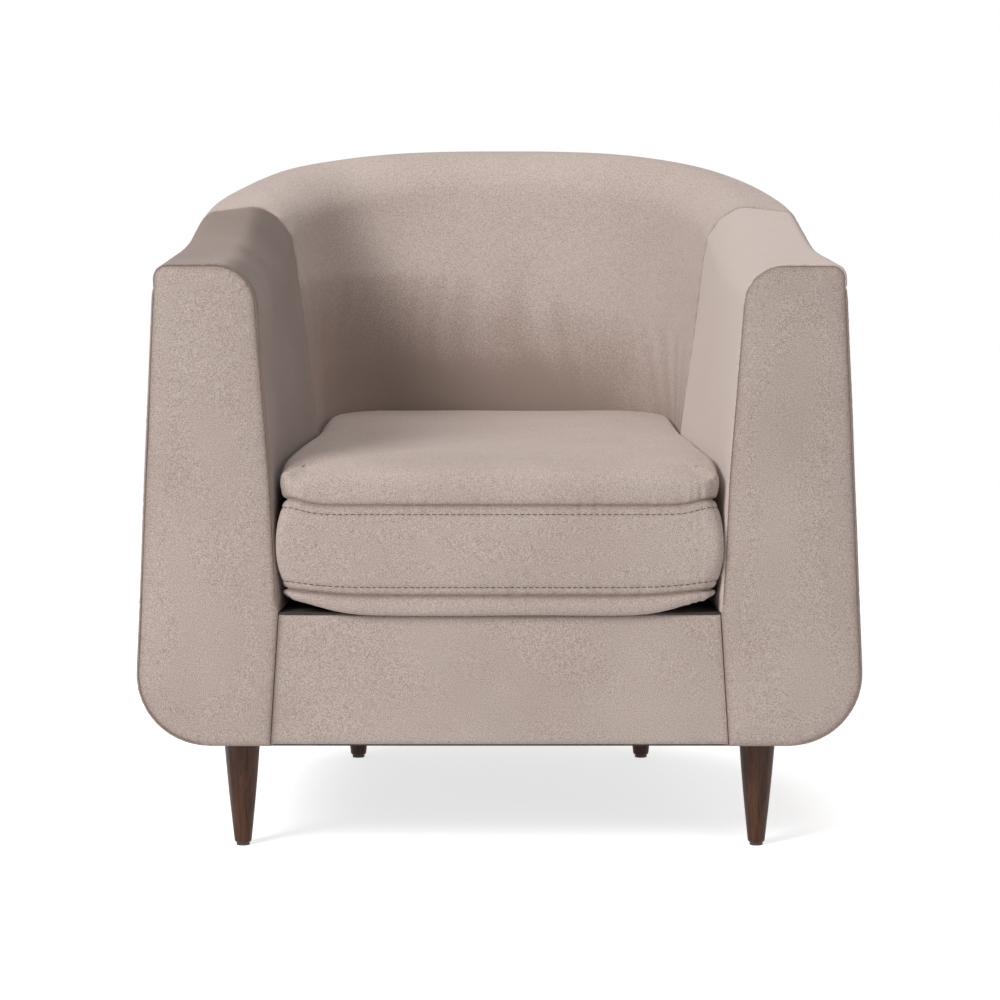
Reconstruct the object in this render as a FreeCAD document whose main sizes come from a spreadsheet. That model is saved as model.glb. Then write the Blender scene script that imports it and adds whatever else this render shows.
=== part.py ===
import FreeCAD, Part
import math
import os

import Sketcher
from FreeCAD import Placement, Rotation, Vector

# The model is drawn with Y as the depth behind the front seam plane of the arms.
# Every sub-part's Placement then moves it so that the origin is under the middle of the chair.

DRIVING = [
    ("half_width", 400.0, "widest half width of the tub, at the front of the arms"),
    ("waist_half_width", 392.0, "the same where the arms meet the back"),
    ("back_reach", 400.0, "fan centre to the furthest point of the back"),
    ("fan_depth", 300.0, "front plane to the fan centre, where the straight arms end"),
    ("underside", 128.0, "height of the underside above the floor"),
    ("arm_height", 657.0, "height of the arm top at the front"),
    ("top_rise", 91.0, "how much higher the middle of the back is"),
    ("arm_top_half_width", 352.0, "outer top edge where the arms end"),
    ("lip_flare", 25.0, "how far the outer top edge flares out at the front"),
    ("back_top_reach", 368.0, "fan centre to the outer top edge of the back"),
    ("front_top_width", 110.0, "arm top, from edge to edge at the front"),
    ("waist_top_width", 101.0, "arm top where the arms end"),
    ("back_top_width", 84.0, "top of the back"),
    ("front_wall", 150.0, "arm at cushion height, outer face to inner face at the front"),
    ("waist_wall", 180.0, "the same where the arms end"),
    ("back_wall", 164.0, "the same in the middle of the back"),
    ("seat_height", 430.0, "height where the inner face starts to lean"),
    ("deck_height", 278.0, "height of the deck under the cushion"),
    ("front_tuck", 7.0, "how far the front panel's inner edge draws in at the deck"),
    ("foot_spread", 10.0, "how far that edge runs out again down to the underside"),
    ("front_corner", 80.0, "bottom corner radius of the arms"),
    ("back_corner", 45.0, "bottom corner radius of the back"),
    ("edge_radius", 20.0, "outer top edge radius"),
    ("cover_seam_drop", 12.0, "seam of outside and inside covers, under the round of the top edge"),
    ("front_roll", 46.0, "inner top roll radius at the front"),
    ("back_roll", 54.0, "inner top roll radius of the back"),
    ("fabric", 2.0, "velvet with its backing"),
    ("ease", 0.3, "clearance between pieces"),
    ("frame_ease", 3.0, "curved frame pieces to the liners and rails beside them"),
    ("hem", 6.0, "cover turned under the tub"),
    ("liner", 4.0, "fibreboard behind the outside covers"),
    ("wall_foam", 28.0, "foam on the inner walls"),
    ("front_pad", 8.0, "wadding on the arm fronts"),
    ("front_pad_inset", 4.0, "wadding inside the panel's outline"),
    ("front_board", 15.0, "plywood arm front"),
    ("front_board_inset", 12.0, "arm front board inside the panel's outline"),
    ("apron_recess", 2.0, "apron behind the arm panels"),
    ("apron_pad", 19.0, "foam on the front rail"),
    ("side_seam_gap", 0.5, "apron to arm panel"),
    ("rail_thickness", 25.0, "hardwood rails"),
    ("rail_top", 235.0, "top of the spring rails"),
    ("side_rail_end", 337.0, "rear end of the side rails"),
    ("base_rail_height", 40.0, "curved base rail and front corner blocks"),
    ("base_rail_width", 75.0, "curved base rail"),
    ("base_rail_start", 255.0, "front plane to the front ends of the curved base rail"),
    ("spring_rail_depth", 520.0, "front plane to the rear spring rail"),
    ("spring_rail_length", 430.0, "length of the rear spring rail"),
    ("block_lap", 8.3, "front corner blocks behind the ends of the front rail"),
    ("block_inset", 8.3, "front corner blocks inside the arms' bottom corners"),
    ("block_depth", 60.0, "front corner blocks, front to back"),
    ("top_rail_width", 30.0, "arm and back top rails"),
    ("top_rail_height", 40.0, "arm and back top rails"),
    ("top_rail_drop", 38.0, "their top under the outer top"),
    ("top_rail_inset", 10.0, "their outer face inside the outer top edge"),
    ("post_width", 40.0, "back posts along the wall"),
    ("post_thickness", 34.0, "back posts across the wall"),
    ("post_overhang", 20.0, "back posts past the outer face of the base rail"),
    ("post_lean", 60.0, "how far a post's foot may stand outside its head"),
    ("spring_wire", 3.6, "sinuous spring wire"),
    ("spring_bend", 12.0, "radius of a spring's bends"),
    ("spring_loop", 46.0, "width of a spring"),
    ("spring_spacing", 85.0, "between springs"),
    ("clip_length", 30.0, "spring clips"),
    ("clip_width", 16.0, "spring clips"),
    ("clip_plate", 1.5, "spring clips"),
    ("deck_cloth", 2.0, "deck cloth"),
    ("dust_cloth", 0.8, "dust cover"),
    ("dust_margin", 1.5, "dust cover to the hems of the covers"),
    ("leg_top", 41.9, "leg diameter at the top"),
    ("leg_toe", 19.4, "leg diameter at the toe"),
    ("toe_round", 3.0, "rounding of the toe"),
    ("front_leg_inset", 22.7, "front leg axes inside the blocks' outer faces"),
    ("front_leg_depth", 78.0, "front leg axes behind the front plane"),
    ("back_leg_inset", 79.4, "rear leg axes inside the widest line of the back"),
    ("glide_height", 3.0, "nylon glides"),
    ("glide_width", 15.0, "nylon glides"),
    ("bolt", 8.0, "hanger bolts"),
    ("bolt_length", 62.0, "hanger bolts"),
    ("bolt_depth", 34.0, "how far a hanger bolt reaches into its leg"),
    ("nut_flange", 20.0, "tee nut flange diameter"),
    ("nut_barrel", 10.4, "tee nut barrel diameter"),
    ("nut_plate", 1.5, "tee nut flange thickness"),
    ("nut_length", 11.0, "tee nut barrel length"),
    ("fit", 0.1, "clearance of the bolts and nuts in wood"),
    ("cushion_proud", 5.0, "cushion front in front of the arm panels"),
    ("cushion_ease", 1.5, "cushion sides to the inner walls where the arms end"),
    ("cushion_front_ease", 5.5, "cushion sides to the arms' inner faces at the front"),
    ("cushion_taper", 9.5, "how much narrower each side is at the rear than where the arms end"),
    ("cushion_rear_ease", 28.0, "rear face of the cushion to the back"),
    ("cushion_front_corner", 34.0, "plan radius"),
    ("cushion_rear_corner", 75.0, "plan radius"),
    ("cushion_lift", 1.0, "cushion bottom above the deck"),
    ("cushion_height", 164.0, "bottom to crown"),
    ("bottom_seam", 18.0, "bottom seam above the cushion's bottom"),
    ("top_seam", 118.0, "top seam above the cushion's bottom"),
    ("draw_in", 5.0, "how far the seams draw the sides in"),
    ("zip_length", 250.0, "zip chain"),
    ("zip_height", 8.0, "zip chain"),
    ("zip_depth", 2.0, "zip chain"),
    ("slider_length", 14.0, "zip slider"),
    ("slider_height", 10.0, "zip slider"),
    ("slider_depth", 3.0, "zip slider"),
    ("pull_length", 18.0, "zip pull"),
    ("pull_width", 7.0, "zip pull"),
    ("pull_plate", 1.6, "zip pull"),
    ("pull_pin", 2.4, "pin of the zip pull"),
]

# Shapes of the rails, as shares from the front of an arm to its end, and on round to the middle of the back.
ARM_SHARES = [0.0, 0.25, 0.5, 0.75, 1.0]
ARM_RISE_SHARES = [0.0, 0.005, 0.03, 0.09, 0.22]
LIP_SHARES = [1.0, 0.76, 0.36, 0.15, 0.0]
BACK_RISE_SHARES = [0.22, 0.36, 0.52, 0.68, 0.81, 0.9, 0.965, 0.993, 1.0]
SEAT_ROUND_POWER = 4.0
INNER_TOP_ROUND_POWER = 2.3
OUTER_ROUND_POWER = 2.0
LOFT_DEGREE = 2
QUARTER = 90.0
BACK_LEG_TURN = 56.41
BACK_STEPS = len(BACK_RISE_SHARES) - 1
SEAM_ANGLE = QUARTER / BACK_STEPS
LINER_BOARDS = [("right_back_liner", 0, 5), ("centre_back_liner", 5, 9), ("left_back_liner", 9, 14)]

# The cushion's crown: how far in and how far up each outline lies, as shares of half width and crown.
CROWN_INSET_SHARES = [0.0, 0.008, 0.035, 0.09, 0.18, 0.3, 0.44, 0.6]
CROWN_HEIGHT_SHARES = [0.0, 0.26, 0.5, 0.69, 0.83, 0.92, 0.98, 1.0]
BELLY_INSET_SHARES = [0.0, 0.03, 0.1, 0.24]
BELLY_HEIGHT_SHARES = [0.0, 0.6, 0.9, 1.0]
SIDE_HEIGHT_SHARES = [0.0, 0.25, 0.5, 0.75, 1.0]
SIDE_DRAW_SHARES = [1.0, 0.25, 0.0, 0.25, 1.0]

doc = FreeCAD.newDocument("armchair")
sheet = doc.addObject("Spreadsheet::Sheet", "Sizes")
for row, (alias, value, meaning) in enumerate(DRIVING, start=1):
    sheet.set(f"A{row}", str(value))
    sheet.setAlias(f"A{row}", alias)
    sheet.set(f"B{row}", meaning)
doc.recompute()


class Size:
    """A length or place that knows its value and the expression that gives it from the sheet."""

    def __init__(self, value, text):
        self.value = float(value)
        self.text = text

    def __add__(self, other):
        other = as_size(other)
        return Size(self.value + other.value, f"({self.text} + {other.text})")

    def __sub__(self, other):
        other = as_size(other)
        return Size(self.value - other.value, f"({self.text} - {other.text})")

    def __mul__(self, other):
        other = as_size(other)
        return Size(self.value * other.value, f"({self.text} * {other.text})")

    def __truediv__(self, other):
        other = as_size(other)
        return Size(self.value / other.value, f"({self.text} / {other.text})")

    def __neg__(self):
        return Size(-self.value, f"(0 - {self.text})")

    def __float__(self):
        return self.value


def as_size(value):
    """Wrap a plain number, so that it can stand in a sum of sizes."""
    return value if isinstance(value, Size) else Size(value, str(float(value)))


def size(alias):
    """The named size of the sheet."""
    return Size(sheet.get(alias), f"Sizes.{alias}")


def length(alias):
    """The named size of the sheet, as a plain number for Part's functions."""
    return float(sheet.get(alias))


def least(first, second):
    """The smaller of two sizes."""
    return Size(min(first.value, second.value), f"min({first.text}; {second.text})")


# Inner lines of the wall, from its outer lines and its thickness.
front_inner_top = size("arm_top_half_width") + size("lip_flare") - size("front_top_width")
waist_inner_top = size("arm_top_half_width") - size("waist_top_width")
back_inner_top = size("back_top_reach") - size("back_top_width")
front_seat = size("half_width") - size("front_wall")
waist_seat = size("waist_half_width") - size("waist_wall")
back_seat = size("back_reach") - size("back_wall")

# Plan of the cushion, from the walls around it.
cushion_front = front_seat - size("cushion_front_ease")
cushion_waist = waist_seat - size("cushion_ease")
cushion_rear = cushion_waist - size("cushion_taper")
cushion_depth = size("fan_depth") + back_seat - size("cushion_rear_ease")

origin_depth = (size("fan_depth") + size("back_reach") - size("cushion_proud")) / 2
frame_bottom = size("underside") + size("fabric") + size("ease")
sub_parts = []


def settle(item, x=0.0, y=0.0, z=0.0, rotation=None):
    """Place a finished sub-part in the chair's frame and list it for export."""
    place = (as_size(x), as_size(y) - origin_depth, as_size(z))
    turn = rotation or Rotation()
    item.Placement = Placement(Vector(*[float(part) for part in place]), turn)
    for axis, part in zip("xyz", place):
        item.setExpression(f"Placement.Base.{axis}", part.text)
    sub_parts.append(item)
    return item


def shaped(label, shape):
    """A sub-part whose surface needs Part's own functions."""
    item = doc.addObject("Part::Feature", label)
    item.Label = label
    item.Shape = shape
    return settle(item)


def origin_plane(body, role):
    """One of a body's own origin planes."""
    return next(plane for plane in body.Origin.OriginFeatures if plane.Role == role)


def new_body(label):
    """An empty body."""
    body = doc.addObject("PartDesign::Body", label)
    body.Label = label
    return body


def polygon_sketch(body, role, corners):
    """A closed sketch whose corners are bound to sizes."""
    sketch = body.newObject("Sketcher::SketchObject", f"{body.Label}_outline")
    sketch.AttachmentSupport = [(origin_plane(body, role), "")]
    sketch.MapMode = "FlatFace"
    points = [Vector(float(x), float(y), 0) for x, y in corners]
    for start, end in zip(points, points[1:] + points[:1]):
        sketch.addGeometry(Part.LineSegment(start, end))
    for index in range(len(points)):
        following = (index + 1) % len(points)
        sketch.addConstraint(Sketcher.Constraint("Coincident", index, 2, following, 1))
    for index, corner in enumerate(corners):
        for kind, place in zip(("DistanceX", "DistanceY"), corner):
            number = sketch.addConstraint(Sketcher.Constraint(kind, -1, 1, index, 1, float(place)))
            sketch.setExpression(f"Constraints[{number}]", as_size(place).text)
    return sketch


def padded_board(label, role, corners, thickness):
    """A board: a polygon pushed out square to its plane."""
    body = new_body(label)
    sketch = polygon_sketch(body, role, corners)
    pad = body.newObject("PartDesign::Pad", f"{label}_pad")
    pad.Profile = sketch
    pad.Length = float(thickness)
    pad.setExpression("Length", as_size(thickness).text)
    sketch.Visibility = False
    doc.recompute()
    return body


def turned(label, corners):
    """A turned piece: a half section in the XZ plane, revolved about Z."""
    body = new_body(label)
    sketch = polygon_sketch(body, "XZ_Plane", corners)
    revolution = body.newObject("PartDesign::Revolution", f"{label}_turning")
    revolution.Profile = sketch
    revolution.ReferenceAxis = (sketch, ["V_Axis"])
    revolution.Angle = 360.0
    doc.recompute()
    return body


def mix(start, end, share):
    """The value a share of the way from start to end."""
    return start + (end - start) * share


def along(shares, place):
    """A table of evenly spaced shares, read at a place from 0 to 1."""
    spot = min(max(place, 0.0), 1.0) * (len(shares) - 1)
    index = min(int(spot), len(shares) - 2)
    return mix(shares[index], shares[index + 1], spot - index)


def round_reach(side, rear, angle, power):
    """Distance from the fan centre to a rounded plan curve."""
    cosine = math.cos(math.radians(angle)) / side
    sine = math.sin(math.radians(angle)) / rear
    return (cosine ** power + sine ** power) ** (-1.0 / power)


class Station:
    """An upright section plane of the tub: a line in plan along which the wall is cut."""

    def __init__(self, depth_share=1.0, angle=0.0, side=1):
        self.depth_share = depth_share
        self.fold = min(angle, 2 * QUARTER - angle)
        self.origin = (0.0, length("fan_depth") * depth_share)
        self.direction = (math.cos(math.radians(angle)) * side, math.sin(math.radians(angle)))

    def place(self, reach, height):
        """A point of this section, in the model."""
        x = self.origin[0] + self.direction[0] * reach
        y = self.origin[1] + self.direction[1] * reach
        return Vector(x, y, height)

    def rail(self, front, waist, rear, power):
        """The reach of one of the wall's lines at this section."""
        if self.fold:
            return round_reach(float(waist), float(rear), self.fold, power)
        return mix(float(front), float(waist), self.depth_share)

    def top(self):
        """Height of the wall's top."""
        if self.fold:
            share = along(BACK_RISE_SHARES, self.fold / QUARTER)
        else:
            share = along(ARM_RISE_SHARES, self.depth_share)
        return length("arm_height") + length("top_rise") * share

    def outer_top(self):
        """Reach of the outer top edge."""
        waist = length("arm_top_half_width")
        if self.fold:
            return round_reach(waist, length("back_top_reach"), self.fold, OUTER_ROUND_POWER)
        return waist + length("lip_flare") * along(LIP_SHARES, self.depth_share)

    def corners(self):
        """The wall's section as corners and the radii that round them, anticlockwise."""
        turn_share = math.sin(math.radians(self.fold))
        forward_share = 1.0 - self.depth_share
        bottom_radius = mix(length("front_corner"), length("back_corner"), turn_share)
        roll = mix(length("front_roll"), length("back_roll"), turn_share)
        reach = self.rail(size("half_width"), size("waist_half_width"), size("back_reach"),
                          OUTER_ROUND_POWER)
        inner_top = self.rail(front_inner_top, waist_inner_top, back_inner_top, INNER_TOP_ROUND_POWER)
        seat = self.rail(front_seat, waist_seat, back_seat, SEAT_ROUND_POWER)
        top = self.top()
        outer_top = self.outer_top()
        bottom = length("underside")
        lean = math.atan2(reach - outer_top, top - bottom - bottom_radius)
        heel = bottom_radius * (1.0 / math.tan((math.pi / 2 - lean) / 2) - 1.0)
        deck = seat - length("front_tuck") * forward_share
        foot = deck + length("foot_spread") * forward_share
        points = [(foot, bottom), (reach + heel, bottom), (outer_top, top), (inner_top, top),
                  (seat, length("seat_height")), (deck, length("deck_height"))]
        radii = [0.0, bottom_radius, length("edge_radius"), roll, 0.0, 0.0]
        return points, radii

    def inset_points(self, inset):
        """The section drawn in by an inset: its tangent points and the middles of its arcs."""
        points, radii = self.corners()
        inner = inset_polygon(points, inset)
        rounds = []
        for index in (1, 2, 3):
            radius = max(radii[index] - inset, length("ease"))
            rounds.append(corner_arc(inner[index - 1], inner[index], inner[index + 1], radius))
        top_reach = corner_arc(points[1], points[2], points[3], radii[2])[2][0] - length("ease")
        top_start = (top_reach, inner[2][1])
        hem_start = (rounds[0][0][0] - length("hem"), inner[1][1])
        edge_start = corner_arc(points[1], points[2], points[3], radii[2])[0]
        down = unit(points[2], points[1])
        inwards = (down[1] * inset, -down[0] * inset)
        drop = length("cover_seam_drop")
        seams = []
        for slide in (drop + length("ease"), drop):
            seams.append((edge_start[0] + down[0] * slide + inwards[0],
                          edge_start[1] + down[1] * slide + inwards[1]))
        return {"hem": hem_start, "heel": rounds[0], "side_end": seams[0], "side_start": seams[1],
                "edge": rounds[1], "top": top_start, "roll": rounds[2], "seat": inner[4],
                "deck": inner[5], "foot": inner[0]}


def inset_polygon(points, inset):
    """Corners of a polygon whose sides have moved inwards by the inset."""
    moved = []
    count = len(points)
    for index in range(count):
        before, here, after = points[index - 1], points[index], points[(index + 1) % count]
        first = unit(before, here)
        second = unit(here, after)
        bend = first[0] * second[1] - first[1] * second[0]
        straight = first[0] * second[0] + first[1] * second[1]
        slide = inset * (1.0 - straight) / bend if abs(bend) > 1e-9 else 0.0
        moved.append((here[0] - first[1] * inset - first[0] * slide,
                      here[1] + first[0] * inset - first[1] * slide))
    return moved


def unit(start, end):
    """Direction from one plan or section point to another."""
    reach = math.hypot(end[0] - start[0], end[1] - start[1])
    return (end[0] - start[0]) / reach, (end[1] - start[1]) / reach


def corner_arc(before, corner, after, radius):
    """Start, middle and end of the arc that rounds a corner."""
    back = unit(corner, before)
    ahead = unit(corner, after)
    cosine = back[0] * ahead[0] + back[1] * ahead[1]
    half = math.acos(cosine) / 2
    reach = radius / math.tan(half)
    start = (corner[0] + back[0] * reach, corner[1] + back[1] * reach)
    end = (corner[0] + ahead[0] * reach, corner[1] + ahead[1] * reach)
    middle_way = unit((0.0, 0.0), (back[0] + ahead[0], back[1] + ahead[1]))
    depth = radius / math.sin(half) - radius
    middle = (corner[0] + middle_way[0] * depth, corner[1] + middle_way[1] * depth)
    return start, middle, end


def line(start, end):
    """A straight edge."""
    return Part.LineSegment(start, end).toShape()


def arc(start, middle, end):
    """An arc edge."""
    return Part.Arc(start, middle, end).toShape()


def strip_edges(station, steps):
    """Edges through points and arcs of a section, in order."""
    edges = []
    last = None
    for step in steps:
        is_arc = isinstance(step[0], tuple)
        first = station.place(*(step[0] if is_arc else step))
        if last is not None:
            edges.append(line(last, first))
        last = first
        if is_arc:
            middle, end = station.place(*step[1]), station.place(*step[2])
            edges.append(arc(first, middle, end))
            last = end
    return edges, last


def band_wire(station, names, outer_inset, inner_inset):
    """The closed section of a layer between two insets, along the named stretch of the wall."""
    outer = station.inset_points(outer_inset)
    inner = station.inset_points(inner_inset)
    forward = [outer[name] for name in names]
    backward = [inner[name] for name in reversed(names)]
    backward = [tuple(reversed(step)) if isinstance(step[0], tuple) else step for step in backward]
    edges, last = strip_edges(station, forward + backward)
    start = edges[0].Vertexes[0].Point
    edges.append(line(last, start))
    return Part.Wire(edges)


def box_wire(station, low_reach, high_reach, bottom, top):
    """A rectangular section."""
    corners = [(low_reach, bottom), (high_reach, bottom), (high_reach, top), (low_reach, top)]
    edges, last = strip_edges(station, corners)
    return Part.Wire(edges + [line(last, station.place(*corners[0]))])


def smooth_loft(wires):
    """A smooth solid through sections, of a low degree so that it doesn't swing past them."""
    return Part.makeLoft(wires, True, False, False, LOFT_DEGREE)


OUTSIDE = ("hem", "heel", "side_end")
OUTSIDE_LINER = ("heel", "edge")
INSIDE = ("side_start", "edge", "roll", "seat", "deck")
INSIDE_FOAM = ("top", "roll", "seat", "deck")


def arm_stations(side, start_depth):
    """Sections of one arm from a depth behind the front plane to the seam with the back."""
    first = start_depth / length("fan_depth")
    shares = [first] + [share for share in ARM_SHARES if share > first]
    stations = [Station(share, 0.0, side) for share in shares]
    return stations + [Station(1.0, SEAM_ANGLE, side)]


def back_stations():
    """Sections of the back from seam to seam."""
    count = 2 * BACK_STEPS - 2
    return [Station(1.0, SEAM_ANGLE * (step + 1)) for step in range(count + 1)]


def layer(stations, names, outer_inset, inner_inset):
    """A solid layer of the wall."""
    wires = [band_wire(station, names, outer_inset, inner_inset) for station in stations]
    return smooth_loft(wires)


def top_rail(stations):
    """A solid rail under the top of the wall."""
    wires = []
    for station in stations:
        outer = station.outer_top() - length("top_rail_inset")
        upper = station.top() - length("top_rail_drop")
        lower = upper - length("top_rail_height")
        wires.append(box_wire(station, outer - length("top_rail_width"), outer, lower, upper))
    return smooth_loft(wires)


def make_walls():
    """Covers, liners, foam and top rails of the arms and the back."""
    skin = length("fabric")
    ease = length("ease")
    liner_face = skin + ease
    liner_back = liner_face + length("liner")
    foam_back = skin + ease + length("wall_foam")
    cover_start = skin + ease
    core_start = cover_start + length("front_pad") + length("front_board") + 3 * ease
    for side, name in ((-1, "left"), (1, "right")):
        cover = arm_stations(side, cover_start)
        core = arm_stations(side, core_start)
        shaped(f"{name}_outside_arm_cover", layer(cover, OUTSIDE, 0.0, skin))
        shaped(f"{name}_inside_arm_cover", layer(cover, INSIDE, 0.0, skin))
        shaped(f"{name}_outside_arm_liner", layer(core, OUTSIDE_LINER, liner_face, liner_back))
        shaped(f"{name}_arm_foam", layer(core, INSIDE_FOAM, liner_face, foam_back))
        shaped(f"{name}_arm_top_rail", top_rail(core))
    back = back_stations()
    shaped("outside_back_cover", layer(back, OUTSIDE, 0.0, skin))
    shaped("inside_back_cover", layer(back, INSIDE, 0.0, skin))
    for name, first, last in LINER_BOARDS:
        shaped(name, layer(back[first:last + 1], OUTSIDE_LINER, liner_face, liner_back))
    shaped("back_foam", layer(back, INSIDE_FOAM, liner_face, foam_back))
    shaped("back_top_rail", top_rail(back))


def panel_wire(side, inset, depth):
    """The outline of an arm front, at a depth."""
    station = Station(0.0, 0.0, side)
    station.origin = (0.0, depth)
    parts = station.inset_points(inset)
    steps = [parts[name] for name in ("foot", "heel", "edge", "roll", "seat", "deck")]
    edges, last = strip_edges(station, steps)
    return Part.Wire(edges + [line(last, station.place(*parts["foot"]))])


def front_slab(side, inset, depth, thickness):
    """A flat piece of an arm front."""
    return Part.Face(panel_wire(side, inset, depth)).extrude(Vector(0, thickness, 0))


def make_arm_fronts():
    """Panel, wadding and plywood board of both arm fronts."""
    skin = length("fabric")
    ease = length("ease")
    pad_depth = skin + ease
    board_depth = pad_depth + length("front_pad") + ease
    for side, name in ((-1, "left"), (1, "right")):
        shaped(f"{name}_arm_front_panel", front_slab(side, 0.0, 0.0, skin))
        pad = front_slab(side, length("front_pad_inset"), pad_depth, length("front_pad"))
        shaped(f"{name}_arm_front_wadding", pad)
        board = front_slab(side, length("front_board_inset"), board_depth, length("front_board"))
        shaped(f"{name}_arm_front_board", board)


def wall_foot(height):
    """Half width of the arm panels' inner edge at the front, at a height under the deck."""
    deck = front_seat - size("front_tuck")
    share = (size("deck_height") - height) / (size("deck_height") - size("underside"))
    return deck + size("foot_spread") * share


def make_apron():
    """Front apron cover and its pad."""
    skin = size("fabric")
    ease = size("ease")
    top = size("deck_height") - size("deck_cloth") - ease * 3
    bottom = size("underside")
    gap = size("side_seam_gap")
    low = wall_foot(bottom) - gap
    high = wall_foot(top) - gap
    cover = padded_board("front_apron_cover", "XZ_Plane",
                         [(-low, bottom), (low, bottom), (high, top), (-high, top)], skin)
    settle(cover, y=size("apron_recess") + skin)
    inner_low = low - gap
    inner_high = high - gap
    lift = frame_bottom
    pad = padded_board("apron_pad", "XZ_Plane",
                       [(-inner_low, lift), (inner_low, lift), (inner_high, top), (-inner_high, top)],
                       size("apron_pad"))
    settle(pad, y=size("apron_recess") + skin + ease + size("apron_pad"))


def board(label, low, high, bottom, top):
    """An upright-sided board from its plan corners, low to high."""
    corners = [(low[0], low[1]), (high[0], low[1]), (high[0], high[1]), (low[0], high[1])]
    body = padded_board(label, "XY_Plane", corners, top - bottom)
    return settle(body, z=bottom)


def side_rail_face():
    """Outer face of the side rails: just inside the arms' bottom corners, where they are nearest."""
    return least(size("half_width"), size("waist_half_width")) - size("front_corner") - size("ease")


def block_face():
    """Outer face of the front corner blocks."""
    return size("half_width") - size("front_corner") - size("block_inset")


def front_rail_end():
    """Half length of the front rail."""
    return wall_foot(size("deck_height")) - size("side_seam_gap") * 2


def make_frame():
    """Rails, blocks and posts under the foam."""
    front = size("apron_recess") + size("fabric") + size("apron_pad") + size("ease") * 2
    behind = front + size("rail_thickness")
    end = front_rail_end()
    board("front_rail", (-end, front), (end, behind), frame_bottom, size("rail_top"))
    start = size("fabric") + size("front_pad") + size("front_board") + size("ease") * 5
    base_top = frame_bottom + size("base_rail_height")
    outer = side_rail_face()
    apart = outer - size("rail_thickness")
    for side, name in ((-1, "left"), (1, "right")):
        low, high = sorted((apart * side, outer * side), key=float)
        board(f"{name}_side_rail", (low, start), (high, size("side_rail_end")), base_top, size("rail_top"))
    rear = size("spring_rail_depth")
    half = size("spring_rail_length") / 2
    board("rear_spring_rail", (-half, rear), (half, rear + size("rail_thickness")),
          base_top, size("rail_top"))
    return front


def drilled(shape, spots, radius):
    """A shape with upright holes at plan spots."""
    box = shape.BoundBox
    for x, y in spots:
        drill = Part.makeCylinder(radius, box.ZLength * 2, Vector(x, y, box.ZMin - box.ZLength / 2))
        shape = shape.cut(drill)
    return shape


def nut_holes(shape, spots, top):
    """A shape with a stepped hole for a tee nut at each plan spot, its flange flush with the top."""
    shape = drilled(shape, spots, length("nut_barrel") / 2 + length("fit"))
    flange = length("nut_flange") / 2 + length("fit")
    depth = length("nut_plate") + length("fit")
    for x, y in spots:
        shape = shape.cut(Part.makeCylinder(flange, depth * 2, Vector(x, y, top - depth)))
    return shape


def back_leg_reach():
    """Fan centre to the rear leg axes."""
    cosine = math.cos(math.radians(BACK_LEG_TURN))
    sine = math.sin(math.radians(BACK_LEG_TURN))
    across = Size(cosine, str(cosine)) / size("waist_half_width")
    along_back = Size(sine, str(sine)) / size("back_reach")
    squares = across * across + along_back * along_back
    widest = Size(squares.value ** -0.5, f"(1 / sqrt({squares.text}))")
    return widest - size("back_leg_inset")


def leg_spots():
    """Plan places of the four legs with their names."""
    front_spread = block_face() - size("front_leg_inset")
    back_spread = back_leg_reach() * math.cos(math.radians(BACK_LEG_TURN))
    back_depth = size("fan_depth") + back_leg_reach() * math.sin(math.radians(BACK_LEG_TURN))
    spots = []
    for row, spread, depth in (("front", front_spread, size("front_leg_depth")),
                               ("back", back_spread, back_depth)):
        for side, name in ((-1, "left"), (1, "right")):
            spots.append((f"{row}_{name}", spread * side, depth))
    return spots


def make_base(front_face):
    """Curved base rail under the back, corner blocks at the front legs, and posts up to the top rails."""
    bottom = float(frame_bottom)
    top = bottom + length("base_rail_height")
    ease = length("ease")
    liner_inside = length("fabric") + length("liner") + 2 * ease
    wires = []
    start = Station(length("base_rail_start") / length("fan_depth"))
    mirrored = [Station(1.0, 0.0, -1), Station(start.depth_share, 0.0, -1)]
    rails = [[start, Station(1.0)], back_stations(), mirrored]
    for station in sum(rails, []):
        outer = base_reach(station, liner_inside)
        wires.append(box_wire(station, outer - length("base_rail_width"), outer, bottom, top))
    rear_spots = [(float(x), float(y)) for name, x, y in leg_spots() if name.startswith("back")]
    shaped("curved_base_rail", nut_holes(smooth_loft(wires), rear_spots, top))
    outer = float(block_face())
    inner = float(front_rail_end()) - length("block_lap")
    deep = length("block_depth")
    behind = float(front_face) + length("rail_thickness") + ease
    for name, x, y in leg_spots()[:2]:
        low = inner if float(x) > 0 else -outer
        block = Part.makeBox(outer - inner, deep, top - bottom, Vector(low, behind, bottom))
        shaped(f"{name}_corner_block", nut_holes(block, [(float(x), float(y))], top))
    post_names = ["right_back_post", "right_rear_post", "centre_back_post", "left_rear_post",
                  "left_back_post"]
    post_steps = [1, BACK_STEPS - 3, BACK_STEPS, BACK_STEPS + 3, 2 * BACK_STEPS - 1]
    for name, step in zip(post_names, post_steps):
        shaped(name, post_shape(Station(1.0, SEAM_ANGLE * step), liner_inside, top + ease))


def base_reach(station, liner_inside):
    """Outer face of the curved base rail: where the liner's bottom corner begins."""
    return station.inset_points(liner_inside)["heel"][0][0] - length("frame_ease")


def post_shape(station, liner_inside, bottom):
    """A post at a section, from the base rail to just under the top rail, leaning as the wall does."""
    top = station.top() - length("top_rail_drop") - length("top_rail_height") - along_wall_drop(station)
    foot = base_reach(station, liner_inside) + length("post_overhang")
    head = station.outer_top() - length("top_rail_inset")
    across = Vector(-station.direction[1], station.direction[0], 0) * (length("post_width") / 2)
    ends = []
    for outer, height in ((min(foot, head + length("post_lean")), bottom), (head, top)):
        near, far = station.place(outer - length("post_thickness"), height), station.place(outer, height)
        corners = [near - across, far - across, far + across, near + across]
        ends.append(Part.makePolygon(corners + corners[:1]))
    return Part.makeLoft(ends, True, True)


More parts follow.
